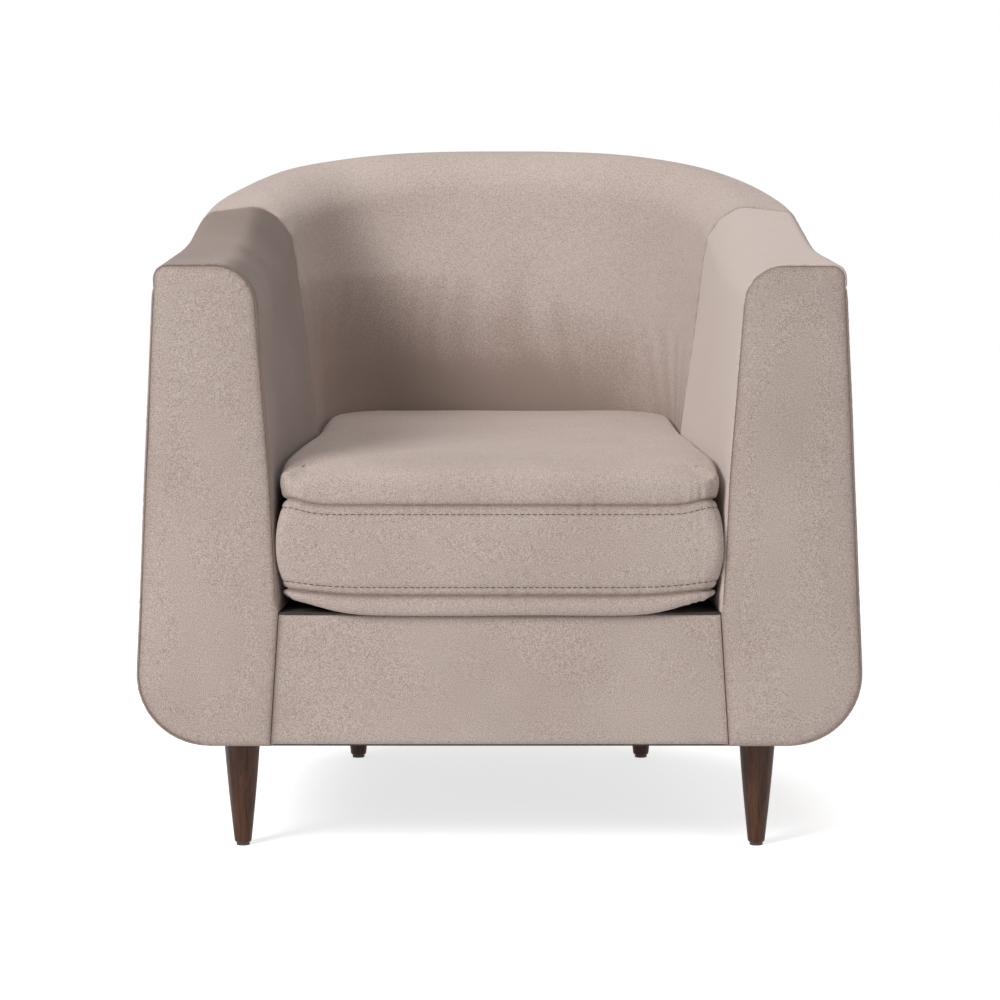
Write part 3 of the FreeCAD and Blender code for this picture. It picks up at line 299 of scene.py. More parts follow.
class Wall:
    """The tub's wall: sections at stations round the plan, from the left arm's front to the right arm's."""

    OUTSIDE = "outside"
    INSIDE = "inside"
    DOME_DEPTH = 45 * MM

    def __init__(self, sizes):
        self.sizes = sizes
        self.stations = [(share, 0.0, -1) for share in ARM_SHARES]
        turns = range(2 * BACK_STEPS - 1, 0, -1)
        self.stations += [(1.0, STATION_TURN * turn, 1) for turn in turns]
        self.stations += [(share, 0.0, 1) for share in reversed(ARM_SHARES)]

    def corners(self, share, angle):
        """Corners of a section as reach and height, anticlockwise from the foot, with their radii."""
        s = self.sizes
        fold = min(angle, 2 * QUARTER - angle)
        turn = math.sin(fold)
        if fold:
            reach = round_reach(s.waist_half_width, s.back_reach, fold, 2.0)
            outer_top = round_reach(s.outer_top, s.back_top_reach, fold, 2.0)
            inner_top = round_reach(s.waist_inner_top, s.back_inner_top, fold, s.top_power)
            seat = round_reach(s.waist_seat, s.back_seat, fold, s.seat_power)
            rise = along(BACK_RISE_SHARES, fold / QUARTER)
        else:
            reach = mix(s.half_width, s.waist_half_width, share)
            outer_top = s.outer_top + s.lip_flare * along(LIP_SHARES, share)
            inner_top = mix(s.front_inner_top, s.waist_inner_top, share)
            seat = mix(s.front_seat, s.waist_seat, share)
            rise = along(ARM_RISE_SHARES, share)
        top = s.arm_height + s.top_rise * rise
        bottom_radius = mix(s.front_corner, s.back_corner, turn)
        lean = math.atan2(reach - outer_top, top - UNDERSIDE - bottom_radius)
        heel = bottom_radius * (1.0 / math.tan((QUARTER - lean) / 2) - 1.0)
        deck = seat - s.front_tuck * (1.0 - share)
        foot = deck + s.foot_spread * (1.0 - share)
        points = [(foot, UNDERSIDE), (reach + heel, UNDERSIDE), (outer_top, top), (inner_top, top),
                  (seat, s.seat_height), (deck, DECK)]
        return points, [0.0, bottom_radius, s.edge_radius, mix(s.front_roll, s.back_roll, turn), 0.0, 0.0]

    def stretch(self, share, angle, name):
        """A named stretch of a section's line: the outside, or the inside with the outer top edge."""
        points, radii = self.corners(share, angle)
        line, marks = rounded(points, radii)
        line = self.domed(line, points, share, angle)
        edge = line[marks[2]]
        down = unit(line[marks[2] - 1] - edge)
        seam = edge + down * self.sizes.seam_drop
        if name == self.OUTSIDE:
            hem = line[marks[1]] - np.array((self.sizes.hem, 0.0))
            return np.concatenate([[hem], line[marks[1]:marks[2]], [seam]])
        return np.concatenate([[seam], line[marks[2]:marks[6]]])

    def domed(self, line, points, share, angle):
        """A section whose top arches up between its edges."""
        across = np.clip((line[:, 0] - points[3][0]) / (points[2][0] - points[3][0]), 0.0, 1.0)
        near_top = np.clip(1.0 + (line[:, 1] - points[2][1]) / self.DOME_DEPTH, 0.0, 1.0)
        rise = self.sizes.dome * share ** 2 * math.cos(min(angle, 2 * QUARTER - angle))
        return line + np.stack([across * 0, rise * 4 * across * (1 - across) * near_top], axis=1)

    def station_lines(self, name, places):
        """The stretch at each station, in the chair's frame."""
        lines = []
        for share, angle, side in self.stations:
            flat = resampled(self.stretch(share, angle, name), places)
            depth = FRONT + self.sizes.fan_depth * share
            lines.append(np.stack([flat[:, 0] * math.cos(angle) * side, depth + flat[:, 0] * math.sin(angle),
                                   flat[:, 1]], axis=1))
        return np.array(lines)

    def columns(self, first, last, step):
        """Places between two stations for mesh columns a step apart, finer beside seams."""
        middles = self.station_lines(self.INSIDE, [SPACING_SHARE])[:, 0]
        gaps = np.linalg.norm(np.diff(middles, axis=0), axis=1)
        run = np.concatenate([[0.0], np.cumsum(gaps)])
        start, end = np.interp([first, last], range(len(run)), run)
        spots = start + (end - start) * places_along(end - start, step)
        return np.interp(spots, run, range(len(run)))

    def surface(self, name, places, columns):
        """A grid of points on the wall: smooth curves through the stations' lines, read at the columns."""
        lines = self.station_lines(name, places)
        slopes = np.gradient(lines, axis=0)
        near = smooth(1.0 - np.abs(columns[:, None] - (LEFT_SEAM, RIGHT_SEAM)) / SLANT_REACH)
        slant = np.interp(places, *SEAM_SLANT) * (name == self.INSIDE)
        spots = columns[:, None] + (near[:, :1] - near[:, 1:]) * slant
        index = np.clip(spots.astype(int), 0, len(lines) - 2)
        row = np.arange(len(places))
        share = (spots - index)[..., None]
        square, cube = share ** 2, share ** 3
        return (lines[index, row] * (2 * cube - 3 * square + 1)
                + slopes[index, row] * (cube - 2 * square + share)
                + lines[index + 1, row] * (3 * square - 2 * cube)
                + slopes[index + 1, row] * (cube - square))


def grid_normals(grid):
    """Unit normals of a grid, square to its columns and rows."""
    down = np.gradient(grid, axis=0)
    across = np.gradient(grid, axis=1)
    return unit(np.cross(across, down))


def run_along(grid, axis):
    """Distance of each point from the start of its row or column."""
    gaps = np.linalg.norm(np.diff(grid, axis=axis), axis=2)
    zero = np.zeros_like(gaps[:1] if axis == 0 else gaps[:, :1])
    return np.concatenate([zero, np.cumsum(gaps, axis=axis)], axis=axis)


def ripple(spots, wave, seed, count=7):
    """A wavy line of mixed wave lengths around one, from -1 to 1."""
    dice = np.random.default_rng(seed)
    total = np.zeros_like(spots)
    for _ in range(count):
        size = wave * dice.uniform(*PUCKER_WAVES)
        total += np.sin(spots * 2 * math.pi / size + dice.uniform(0, 2 * math.pi))
    patches = 0.6 + 0.4 * np.sin(spots * 2 * math.pi / (wave * 9.0) + dice.uniform(0, 2 * math.pi))
    return total / count * 1.8 * patches


def unevenness(points, wave, seed, count=9):
    """A soft uneven field in space, from about -1 to 1."""
    dice = np.random.default_rng(seed)
    total = np.zeros(points.shape[:-1])
    for _ in range(count):
        direction = unit(dice.normal(size=3))
        size = wave * dice.uniform(*SOFT_WAVES)
        total += np.sin(points @ direction * 2 * math.pi / size + dice.uniform(0, 2 * math.pi))
    return total / count * 1.6


class Sewn:
    """A grid of cloth that takes grooves, puckers and softness, and keeps how near each seam is."""

    PUCKER_GAIN = 2.4

    def __init__(self, grid, look, seed):
        self.grid = grid
        self.look = look
        self.seed = seed
        self.normals = grid_normals(grid)
        self.lift = np.zeros(grid.shape[:2])
        self.near_seam = np.zeros(grid.shape[:2])

    def edge_runs(self, edge):
        """Distance from a named edge, and distance along it."""
        rows, columns = run_along(self.grid, 0), run_along(self.grid, 1)
        if edge == "start":
            return rows, columns
        if edge == "end":
            return rows[-1:] - rows, columns
        if edge == "low":
            return columns, rows
        return columns[:, -1:] - columns, rows

    def seam(self, edge, depth, pucker, wave):
        """Draw the cloth down into a seam along an edge, with puckers beside it."""
        away, run = self.edge_runs(edge)
        self.seed += 1
        look = self.look
        self.lift -= look.groove * depth * np.exp(-away / look.groove_width)
        rise = np.exp(-away / look.pucker_reach) * (1.0 - np.exp(-away / look.groove_width))
        self.lift += look.pucker * pucker * self.PUCKER_GAIN * ripple(run, wave, self.seed) * rise
        # Painted shade in the seam's groove, kept for the pile's colour.
        self.near_seam = np.maximum(self.near_seam, np.exp(-away / SEAM_SHADE))

    def soften(self, height=1.0, wave=0.12):
        """Give the padding its broad unevenness."""
        self.lift += self.look.softness * height * unevenness(self.grid, wave, self.seed + 50)

    def points(self):
        """The cloth's points with all that was added."""
        return self.grid + self.normals * self.lift[..., None]


# Helpers for meshes

def quads(rows):
    """Quads between neighbouring rows of point numbers."""
    return np.stack([rows[:-1, :-1], rows[:-1, 1:], rows[1:, 1:], rows[1:, :-1]], axis=-1).reshape(-1, 4)


def bands(first, second):
    """Quads between two matching lines of point numbers."""
    return quads(np.stack([first, second]))


def new_piece(name, points, faces, material):
    """A smooth-shaded mesh object from points and faces, its faces turned outwards."""
    mesh = bpy.data.meshes.new(name)
    mesh.from_pydata(points.tolist(), [], faces)
    shape = bmesh.new()
    shape.from_mesh(mesh)
    bmesh.ops.recalc_face_normals(shape, faces=shape.faces)
    shape.to_mesh(mesh)
    shape.free()
    mesh.materials.append(material)
    mesh.polygons.foreach_set("use_smooth", [True] * len(mesh.polygons))
    piece = bpy.data.objects.new(name, mesh)
    bpy.context.scene.collection.objects.link(piece)
    return piece


def grid_shell(name, outer, under, material):
    """A closed layer between two matching grids of points."""
    rows, columns = outer.shape[:2]
    face = np.arange(rows * columns).reshape(rows, columns)
    back = face + rows * columns
    parts = [quads(face), quads(back)[:, ::-1], bands(face[0], back[0]), bands(back[-1], face[-1]),
             bands(back[:, 0], face[:, 0]), bands(face[:, -1], back[:, -1])]
    points = np.concatenate([outer.reshape(-1, 3), under.reshape(-1, 3)])
    return new_piece(name, points, np.concatenate(parts).tolist(), material)


def keep_values(piece, nap, near_seam, brushed=0.0):
    """Store the pile's direction, the closeness of seams for their painted shade, and the painted shade and
    brushing on a piece.
    """
    lean = piece.data.attributes.new("nap", "FLOAT_VECTOR", "POINT")
    lean.data.foreach_set("vector", nap.astype(np.float32).ravel())
    seam = piece.data.attributes.new("seam", "FLOAT", "POINT")
    seam.data.foreach_set("value", near_seam.astype(np.float32).ravel())
    dark = piece.data.attributes.new("brushed", "FLOAT", "POINT")
    dark.data.foreach_set("value", np.resize(brushed, len(piece.data.vertices)).astype(np.float32))


def cloth_shell(name, sewn, under, material, nap=(0.0, 0.0, -0.5), brushed=0.0):
    """A closed layer between a sewn grid and the points under it."""
    piece = grid_shell(name, sewn.points(), under, material)
    normals = sewn.normals.reshape(-1, 3)
    lean = np.array(nap) - normals * (normals @ np.array(nap))[:, None]
    keep_values(piece, np.concatenate([lean, lean]),
                np.concatenate([sewn.near_seam.ravel(), sewn.near_seam.ravel() * 0]), brushed)
    return piece


def belongs(piece, body, slot, *nodes):
    """Ride on a body and stand for CAD nodes; the slot is not used."""
    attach(piece, body)
    if nodes:
        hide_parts(*nodes)


def turned(profile, centre, count):
    """Points and faces of reaches and heights turned round an upright axis, with a pole at a reach of 0."""
    turns = np.linspace(0, 2 * math.pi, count, endpoint=False)
    points, rings = [], []
    for reach, height in profile:
        first = len(points)
        if reach:
            points += [(centre[0] + reach * math.cos(turn), centre[1] + reach * math.sin(turn), height)
                       for turn in turns]
        else:
            points.append((centre[0], centre[1], height))
        rings.append([first + (spot if reach else 0) for spot in range(count)])
    faces = []
    for here, above in zip(rings[:-1], rings[1:]):
        for spot in range(count):
            after = (spot + 1) % count
            corners = [here[spot], here[after], above[after], above[spot]]
            faces.append(list(dict.fromkeys(corners)))
    return np.array(points), faces


# Helpers for nodes

def node(tree, kind, values=None, **settings):
    """A node with settings, whose inputs are numbers or other nodes' sockets."""
    made = tree.nodes.new(kind)
    for name, value in settings.items():
        setattr(made, name, value)
    for key, value in (values or {}).items():
        if isinstance(value, bpy.types.NodeSocket):
            tree.links.new(value, made.inputs[key])
        else:
            made.inputs[key].default_value = value
    return made


def maths(tree, operation, *values):
    """The result of a Math node."""
    return node(tree, "ShaderNodeMath", dict(enumerate(values)), operation=operation).outputs[0]


def noise(tree, place, scale, detail, roughness=0.5, distortion=0.0):
    """The value of a noise texture at a place."""
    values = {"Vector": place, "Scale": scale, "Detail": detail, "Roughness": roughness,
              "Distortion": distortion}
    return node(tree, "ShaderNodeTexNoise", values).outputs["Fac"]


def ranged(tree, value, low, high, first=0.0, last=1.0):
    """A value between low and high, brought to the range from first to last and held there."""
    return node(tree, "ShaderNodeMapRange", {"Value": value, 1: low, 2: high, 3: first, 4: last}).outputs[0]


def object_place(tree):
    """Coordinates on the piece itself."""
    return node(tree, "ShaderNodeTexCoord").outputs["Object"]


def stored_value(tree, name, output="Fac"):
    """A value kept on the piece's points."""
    return node(tree, "ShaderNodeAttribute", attribute_name=name).outputs[output]


def blend(tree, factor, first, second):
    """A colour between two others."""
    made = node(tree, "ShaderNodeMix", {0: factor, 6: first, 7: second}, data_type="RGBA")
    return made.outputs[2]


def solid(colour):
    """A colour with its alpha."""
    return (*colour, 1.0)


def new_group(name, inputs, outputs):
    """An empty shader group with named sockets: name and kind, and a value for inputs."""
    tree = bpy.data.node_groups.new(name, "ShaderNodeTree")
    for label, kind, value in inputs:
        socket = tree.interface.new_socket(label, in_out="INPUT", socket_type=kind)
        socket.default_value = value
    for label, kind in outputs:
        tree.interface.new_socket(label, in_out="OUTPUT", socket_type=kind)
    return tree, tree.nodes.new("NodeGroupInput").outputs, tree.nodes.new("NodeGroupOutput").inputs


def pile_group():
    """The pile of velvet: colour that deepens between tufts and in patches, with painted shade in seam
    grooves and where the stored shade and brushing ask, and the height of the fibres.
    """
    tree, given, result = new_group(
        "pile",
        [("Colour", "NodeSocketColor", (1, 1, 1, 1)), ("Deep", "NodeSocketColor", (0, 0, 0, 1)),
         ("Fibre Scale", "NodeSocketFloat", 950.0), ("Patch Scale", "NodeSocketFloat", 9.0),
         ("Contrast", "NodeSocketFloat", 1.0)],
        [("Colour", "NodeSocketColor"), ("Height", "NodeSocketFloat")])
    place = object_place(tree)
    fibres = noise(tree, place, given["Fibre Scale"], 3.0, 0.7)
    tufts = ranged(tree, fibres, 0.36, 0.58)
    depth = maths(tree, "MULTIPLY", maths(tree, "SUBTRACT", 1.0, tufts), given["Contrast"])
    patches = noise(tree, place, given["Patch Scale"], 2.0)
    stains = ranged(tree, patches, 0.3, 0.7, -0.05, 0.1)
    # Painted shade: darker in seam grooves, and darker or lighter by the stored shade and brushing.
    seam = stored_value(tree, "seam")
    brushed = stored_value(tree, "brushed")
    shade = maths(tree, "ADD", maths(tree, "ADD", depth, stains), maths(tree, "MULTIPLY", seam, 0.75))
    shade = maths(tree, "ADD", shade, brushed)
    capped = node(tree, "ShaderNodeClamp", {"Value": shade}).outputs[0]
    tree.links.new(blend(tree, capped, given["Colour"], given["Deep"]), result["Colour"])
    tree.links.new(fibres, result["Height"])
    return tree


def nap_group():
    """The direction in which light meets the leaning pile."""
    tree, given, result = new_group("nap_lean", [("Lean", "NodeSocketFloat", 0.4)],
                                    [("Normal", "NodeSocketVector")])
    stored = stored_value(tree, "nap", "Vector")
    normal = node(tree, "ShaderNodeNewGeometry").outputs["Normal"]
    patches = noise(tree, object_place(tree), 6.5, 3.0, 0.55, 0.6)
    strokes = ranged(tree, patches, 0.34, 0.66, 0.7, 1.35)
    amount = maths(tree, "MULTIPLY", given["Lean"], strokes)
    lean = node(tree, "ShaderNodeVectorMath", {0: stored, "Scale": amount}, operation="SCALE").outputs[0]
    total = node(tree, "ShaderNodeVectorMath", {0: normal, 1: lean}, operation="ADD").outputs[0]
    leaning = node(tree, "ShaderNodeVectorMath", {0: total}, operation="NORMALIZE").outputs[0]
    tree.links.new(leaning, result["Normal"])
    return tree


def grain_group():
    """Wood grain along one axis: growth rings drawn out along it, with pores."""
    tree, given, result = new_group(
        "wood_grain",
        [("Light", "NodeSocketColor", (1, 1, 1, 1)), ("Dark", "NodeSocketColor", (0, 0, 0, 1)),
         ("Stretch", "NodeSocketVector", (1.0, 1.0, 0.1)), ("Scale", "NodeSocketFloat", 60.0)],
        [("Colour", "NodeSocketColor"), ("Height", "NodeSocketFloat"), ("Roughness", "NodeSocketFloat")])
    place = object_place(tree)
    stretch = node(tree, "ShaderNodeVectorMath", {0: place, 1: given["Stretch"]}, operation="MULTIPLY")
    drawn = stretch.outputs[0]
    rings = noise(tree, drawn, given["Scale"], 5.0, 0.62, 0.9)
    pores = noise(tree, drawn, maths(tree, "MULTIPLY", given["Scale"], 9.0), 2.0)
    broad = ranged(tree, rings, 0.32, 0.68)
    specks = ranged(tree, pores, 0.35, 0.5, 0.55, 1.0)
    share = maths(tree, "MULTIPLY", broad, specks)
    tree.links.new(blend(tree, share, given["Dark"], given["Light"]), result["Colour"])
    tree.links.new(share, result["Height"])
    tree.links.new(maths(tree, "MULTIPLY_ADD", share, -0.14, 0.52), result["Roughness"])
    return tree


def two_tone_group(name, scale_name, scale, height_of):
    """A shader group of two colours, mixed by a height that height_of makes from place and scale."""
    tree, given, result = new_group(
        name,
        [("Light", "NodeSocketColor", (1, 1, 1, 1)), ("Dark", "NodeSocketColor", (0, 0, 0, 1)),
         (scale_name, "NodeSocketFloat", scale)],
        [("Colour", "NodeSocketColor"), ("Height", "NodeSocketFloat")])
    height = height_of(tree, object_place(tree), given[scale_name])
    tree.links.new(blend(tree, height, given["Dark"], given["Light"]), result["Colour"])
    tree.links.new(height, result["Height"])
    return tree


def weave_group():
    """A plain weave: threads over and under each other, with uneven yarn."""
    def height(tree, place, threads):
        apart = node(tree, "ShaderNodeSeparateXYZ", {0: place})
        warp = maths(tree, "SINE", maths(tree, "MULTIPLY", apart.outputs[0], threads))
        depth = maths(tree, "ADD", apart.outputs[1], apart.outputs[2])
        weft = maths(tree, "SINE", maths(tree, "MULTIPLY", depth, threads))
        crossing = maths(tree, "MULTIPLY_ADD", maths(tree, "MULTIPLY", warp, weft), 0.35, 0.5)
        yarn = noise(tree, place, 260.0, 3.0)
        return maths(tree, "MULTIPLY", crossing, maths(tree, "ADD", yarn, 0.45))

    return two_tone_group("weave", "Threads", 900.0, height)


def speckle_group():
    """Fine uneven material such as foam, felt, board or cast nylon: two sizes of mottling."""
    def height(tree, place, scale):
        fine = noise(tree, place, scale, 4.0, 0.65)
        broad = noise(tree, place, maths(tree, "MULTIPLY", scale, 0.06), 2.0)
        share = maths(tree, "ADD", maths(tree, "MULTIPLY", fine, 0.65), maths(tree, "MULTIPLY", broad, 0.35))
        return ranged(tree, share, 0.35, 0.65)

    return two_tone_group("speckle", "Scale", 300.0, height)


GROUPS = {"pile": pile_group, "nap_lean": nap_group, "wood_grain": grain_group, "weave": weave_group,
          "speckle": speckle_group}


def placed_group(tree, name, values=None):
    """A shader group placed in a material, built on first use."""
    shared = bpy.data.node_groups.get(name) or GROUPS[name]()
    return node(tree, "ShaderNodeGroup", values, node_tree=shared).outputs


def new_material(name):
    """An empty material with its Principled shader."""
    material = bpy.data.materials.new(name)
    material.use_nodes = True
    return material, material.node_tree, material.node_tree.nodes["Principled BSDF"]


def bumped(tree, shader, height, strength, distance, **normal):
    """Raise a shader's surface by a height, on top of a Normal where one is given."""
    values = {"Height": height, "Strength": strength, "Distance": distance, **normal}
    bump = node(tree, "ShaderNodeBump", values)
    tree.links.new(bump.outputs["Normal"], shader.inputs["Normal"])


def set_inputs(shader, **values):
    """Set a shader's own sockets, named with underscores for spaces."""
    for name, value in values.items():
        shader.inputs[name.replace("_", " ")].default_value = value


def velvet():
    """Short-pile velvet: leaning nap, fine fibres and a pale bloom at the edges."""
    found = bpy.data.materials.get("velvet_pile")
    if found:
        return found
    look = bpy.context.scene.armchair_cloth
    material, tree, shader = new_material("velvet_pile")
    pile = placed_group(tree, "pile", {"Colour": solid(look.velvet), "Deep": solid(look.velvet_deep)})
    lean = placed_group(tree, "nap_lean", {"Lean": look.nap_lean})
    tree.links.new(pile["Colour"], shader.inputs["Base Color"])
    bumped(tree, shader, pile["Height"], 0.35, 0.5 * MM, Normal=lean["Normal"])
    set_inputs(shader, Roughness=0.9, Specular_IOR_Level=0.2, Sheen_Weight=0.26, Sheen_Roughness=0.42,
               Sheen_Tint=(1.0, 0.93, 0.9, 1.0))
    return material


LACQUER = {"walnut": 0.04}
# Finishes of the other slots: group, light and dark colour, group settings, roughness, metallic, bump.
# Where roughness is None, the group gives it.
FINISHES = {
    "walnut": ("wood_grain", (0.088, 0.031, 0.012), (0.024, 0.0080, 0.0034),
               {"Stretch": (1.0, 1.0, 0.05), "Scale": 150.0}, None, 0.0, 0.06),
    "plywood": ("wood_grain", (0.66, 0.48, 0.30), (0.40, 0.26, 0.15),
                {"Stretch": (0.5, 0.5, 3.0), "Scale": 60.0}, None, 0.0, 0.1),
    "frame_wood": ("wood_grain", (0.62, 0.44, 0.26), (0.38, 0.24, 0.13),
                   {"Stretch": (0.08, 1.0, 1.0), "Scale": 50.0}, None, 0.0, 0.1),
    "fibreboard": ("speckle", (0.36, 0.26, 0.18), (0.22, 0.15, 0.10), {"Scale": 420.0}, 0.85, 0.0, 0.2),
    "foam": ("speckle", (0.80, 0.74, 0.58), (0.62, 0.55, 0.40), {"Scale": 700.0}, 0.95, 0.0, 0.4),
    "black_nonwoven": ("speckle", (0.045, 0.045, 0.045), (0.018, 0.018, 0.018),
                       {"Scale": 900.0}, 0.9, 0.0, 0.5),
    # Near black: partly the deck cloth's own colour, partly painted shade for the gap under the cushion.
    "deck_fabric": ("weave", (0.060, 0.050, 0.044), (0.022, 0.018, 0.016),
                    {"Threads": 2400.0}, 0.9, 0.0, 0.5),
    "zip_tape": ("weave", (0.36, 0.29, 0.25), (0.20, 0.15, 0.13), {"Threads": 5200.0}, 0.8, 0.0, 0.5),
    "nylon": ("speckle", (0.055, 0.050, 0.046), (0.035, 0.031, 0.029), {"Scale": 260.0}, 0.42, 0.0, 0.05),
    "steel": ("speckle", (0.52, 0.53, 0.54), (0.38, 0.39, 0.41), {"Scale": 340.0}, 0.34, 1.0, 0.04),
    "zip_metal": ("speckle", (0.42, 0.38, 0.33), (0.24, 0.21, 0.18), {"Scale": 500.0}, 0.36, 1.0, 0.06),
    "thread": ("speckle", (0.060, 0.038, 0.030), (0.034, 0.021, 0.017), {"Scale": 2400.0}, 0.8, 0.0, 0.4),
}


def finish(name):
    """The material of a slot, built on first use."""
    if name == "velvet":
        return velvet()
    found = bpy.data.materials.get(name + "_finish")
    if found:
        return found
    group, light, dark, settings, roughness, metallic, bump = FINISHES[name]
    material, tree, shader = new_material(name + "_finish")
    pattern = placed_group(tree, group, {"Light": solid(light), "Dark": solid(dark), **settings})
    tree.links.new(pattern["Colour"], shader.inputs["Base Color"])
    if roughness is None:
        tree.links.new(pattern["Roughness"], shader.inputs["Roughness"])
        set_inputs(shader, Specular_IOR_Level=0.25, Coat_Weight=LACQUER.get(name, 0.0), Coat_Roughness=0.3)
    else:
        set_inputs(shader, Roughness=roughness)
    set_inputs(shader, Metallic=metallic)
    bumped(tree, shader, pattern["Height"], bump, 0.6 * MM)
    return material


# Helpers for repeated pieces

def repeat_tree(name, sizes, build):
    """A geometry tree with named sizes: build makes its points, their rotation and the shape to repeat."""
    tree = bpy.data.node_groups.new(name, "GeometryNodeTree")
    tree.interface.new_socket("Geometry", in_out="INPUT", socket_type="NodeSocketGeometry")
    for label, value in sizes.items():
        socket = tree.interface.new_socket(label, in_out="INPUT", socket_type="NodeSocketFloat")
        socket.default_value = value
    tree.interface.new_socket("Material", in_out="INPUT", socket_type="NodeSocketMaterial")
    tree.interface.new_socket("Geometry", in_out="OUTPUT", socket_type="NodeSocketGeometry")
    given = tree.nodes.new("NodeGroupInput").outputs
    points, rotation, shape = build(tree, given)
    placed = node(tree, "GeometryNodeInstanceOnPoints",
                  {"Points": points, "Instance": shape, "Rotation": rotation}).outputs[0]
    real = node(tree, "GeometryNodeRealizeInstances", {0: placed}).outputs[0]
    shaded = node(tree, "GeometryNodeSetShadeSmooth", {0: real}).outputs[0]
    painted = node(tree, "GeometryNodeSetMaterial", {0: shaded, "Material": given["Material"]}).outputs[0]
    tree.links.new(painted, tree.nodes.new("NodeGroupOutput").inputs[0])
    return tree


def repeated(name, lines, closed, tree, values, material):
    """A mesh of small pieces repeated along lines of points."""
    points, edges = [], []
    for line in lines:
        first = len(points)
        points += [tuple(point) for point in line]
        edges += [(first + step, first + step + 1) for step in range(len(line) - 1)]
        if closed:
            edges.append((len(points) - 1, first))
    mesh = bpy.data.meshes.new(name + "_path")
    mesh.from_pydata(points, edges, [])
    carrier = bpy.data.objects.new(name + "_path", mesh)
    bpy.context.scene.collection.objects.link(carrier)
    modifier = carrier.modifiers.new("repeat", "NODES")
    modifier.node_group = tree
    sockets = {item.name: item.identifier for item in tree.interface.items_tree if item.in_out == "INPUT"}
    for label, value in {**values, "Material": material}.items():
        modifier[sockets[label]] = value
    shown = carrier.evaluated_get(bpy.context.evaluated_depsgraph_get())
    result = bpy.data.objects.new(name, bpy.data.meshes.new_from_object(shown))
    bpy.context.scene.collection.objects.link(result)
    bpy.data.objects.remove(carrier)
    return result


def spaced_points(tree, given):
    """Points a pitch apart along the lines, and the size of one repeated piece."""
    curve = node(tree, "GeometryNodeMeshToCurve", {0: given["Geometry"]}).outputs[0]
    spaced = node(tree, "GeometryNodeCurveToPoints", {0: curve, "Length": given["Pitch"]}, mode="LENGTH")
    size = node(tree, "ShaderNodeCombineXYZ", {0: given["Width"], 1: given["Height"], 2: given["Length"]})
    return spaced.outputs, size.outputs[0]


def stitch_points(tree, given):
    """Thread stitches, end to end along a line with a gap between them."""
    spaced, size = spaced_points(tree, given)
    shape = node(tree, "GeometryNodeMeshUVSphere", {"Segments": 6, "Rings": 5}).outputs[0]
    scaled = node(tree, "GeometryNodeTransform", {0: shape, "Scale": size}).outputs[0]
    return spaced["Points"], spaced["Rotation"], scaled


def bar_points(tree, given):
    """Small bars along a line, each turned a little by chance."""
    spaced, size = spaced_points(tree, given)
    shape = node(tree, "GeometryNodeMeshCube", {"Size": size}).outputs[0]
    least = maths(tree, "MULTIPLY", given["Turn"], -1.0)
    chance = node(tree, "FunctionNodeRandomValue", {2: least, 3: given["Turn"], "Seed": 7})
    swing = node(tree, "ShaderNodeCombineXYZ", {1: chance.outputs[1]}).outputs[0]
    swung = node(tree, "FunctionNodeRotateRotation", {0: spaced["Rotation"], 1: swing},
                 rotation_space="LOCAL")
    return spaced["Points"], swung.outputs[0], shape


def stitch_tree():
    """The tree for thread."""
    sizes = {"Pitch": 0.006, "Width": 0.0004, "Height": 0.0004, "Length": 0.002}
    return bpy.data.node_groups.get("stitches") or repeat_tree("stitches", sizes, stitch_points)


def bar_tree():
    """The tree for staples and zip teeth."""
    sizes = {"Pitch": 0.03, "Width": 0.01, "Height": 0.0006, "Length": 0.001, "Turn": 0.1}
    return bpy.data.node_groups.get("bars") or repeat_tree("bars", sizes, bar_points)


# Helpers for flat shapes

def nearest(points, outline):
    """Distance of points from a closed outline, and how far along it the nearest spot is."""
    ends = np.roll(outline, -1, axis=0)
    gaps = np.linalg.norm(ends - outline, axis=1)
    begun = np.concatenate([[0.0], np.cumsum(gaps)[:-1]])
    away = np.full(len(points), np.inf)
    spot = np.zeros(len(points))
    for start, end, gap, run in zip(outline, ends, gaps, begun):
        share = np.clip((points - start) @ (end - start) / gap ** 2, 0.0, 1.0)
        distance = np.linalg.norm(points - start - share[:, None] * (end - start), axis=1)
        closer = distance < away
        away = np.where(closer, distance, away)
        spot = np.where(closer, run + share * gap, spot)
    return away, spot


def drawn_in(outline, inset):
    """A closed anticlockwise outline moved inwards, by one inset or by one for each point."""
    ahead = np.roll(outline, -1, axis=0) - np.roll(outline, 1, axis=0)
    inwards = unit(np.stack([-ahead[:, 1], ahead[:, 0]], axis=1))
    return outline + inwards * np.reshape(inset, (-1, 1))


def closed_line(points, step):
    """A closed outline resampled to points about a step apart."""
    line = np.concatenate([points, points[:1]])
    count = int(round(line_length(line) / step))
    return resampled(line, np.linspace(0.0, 1.0, count + 1))[:-1]


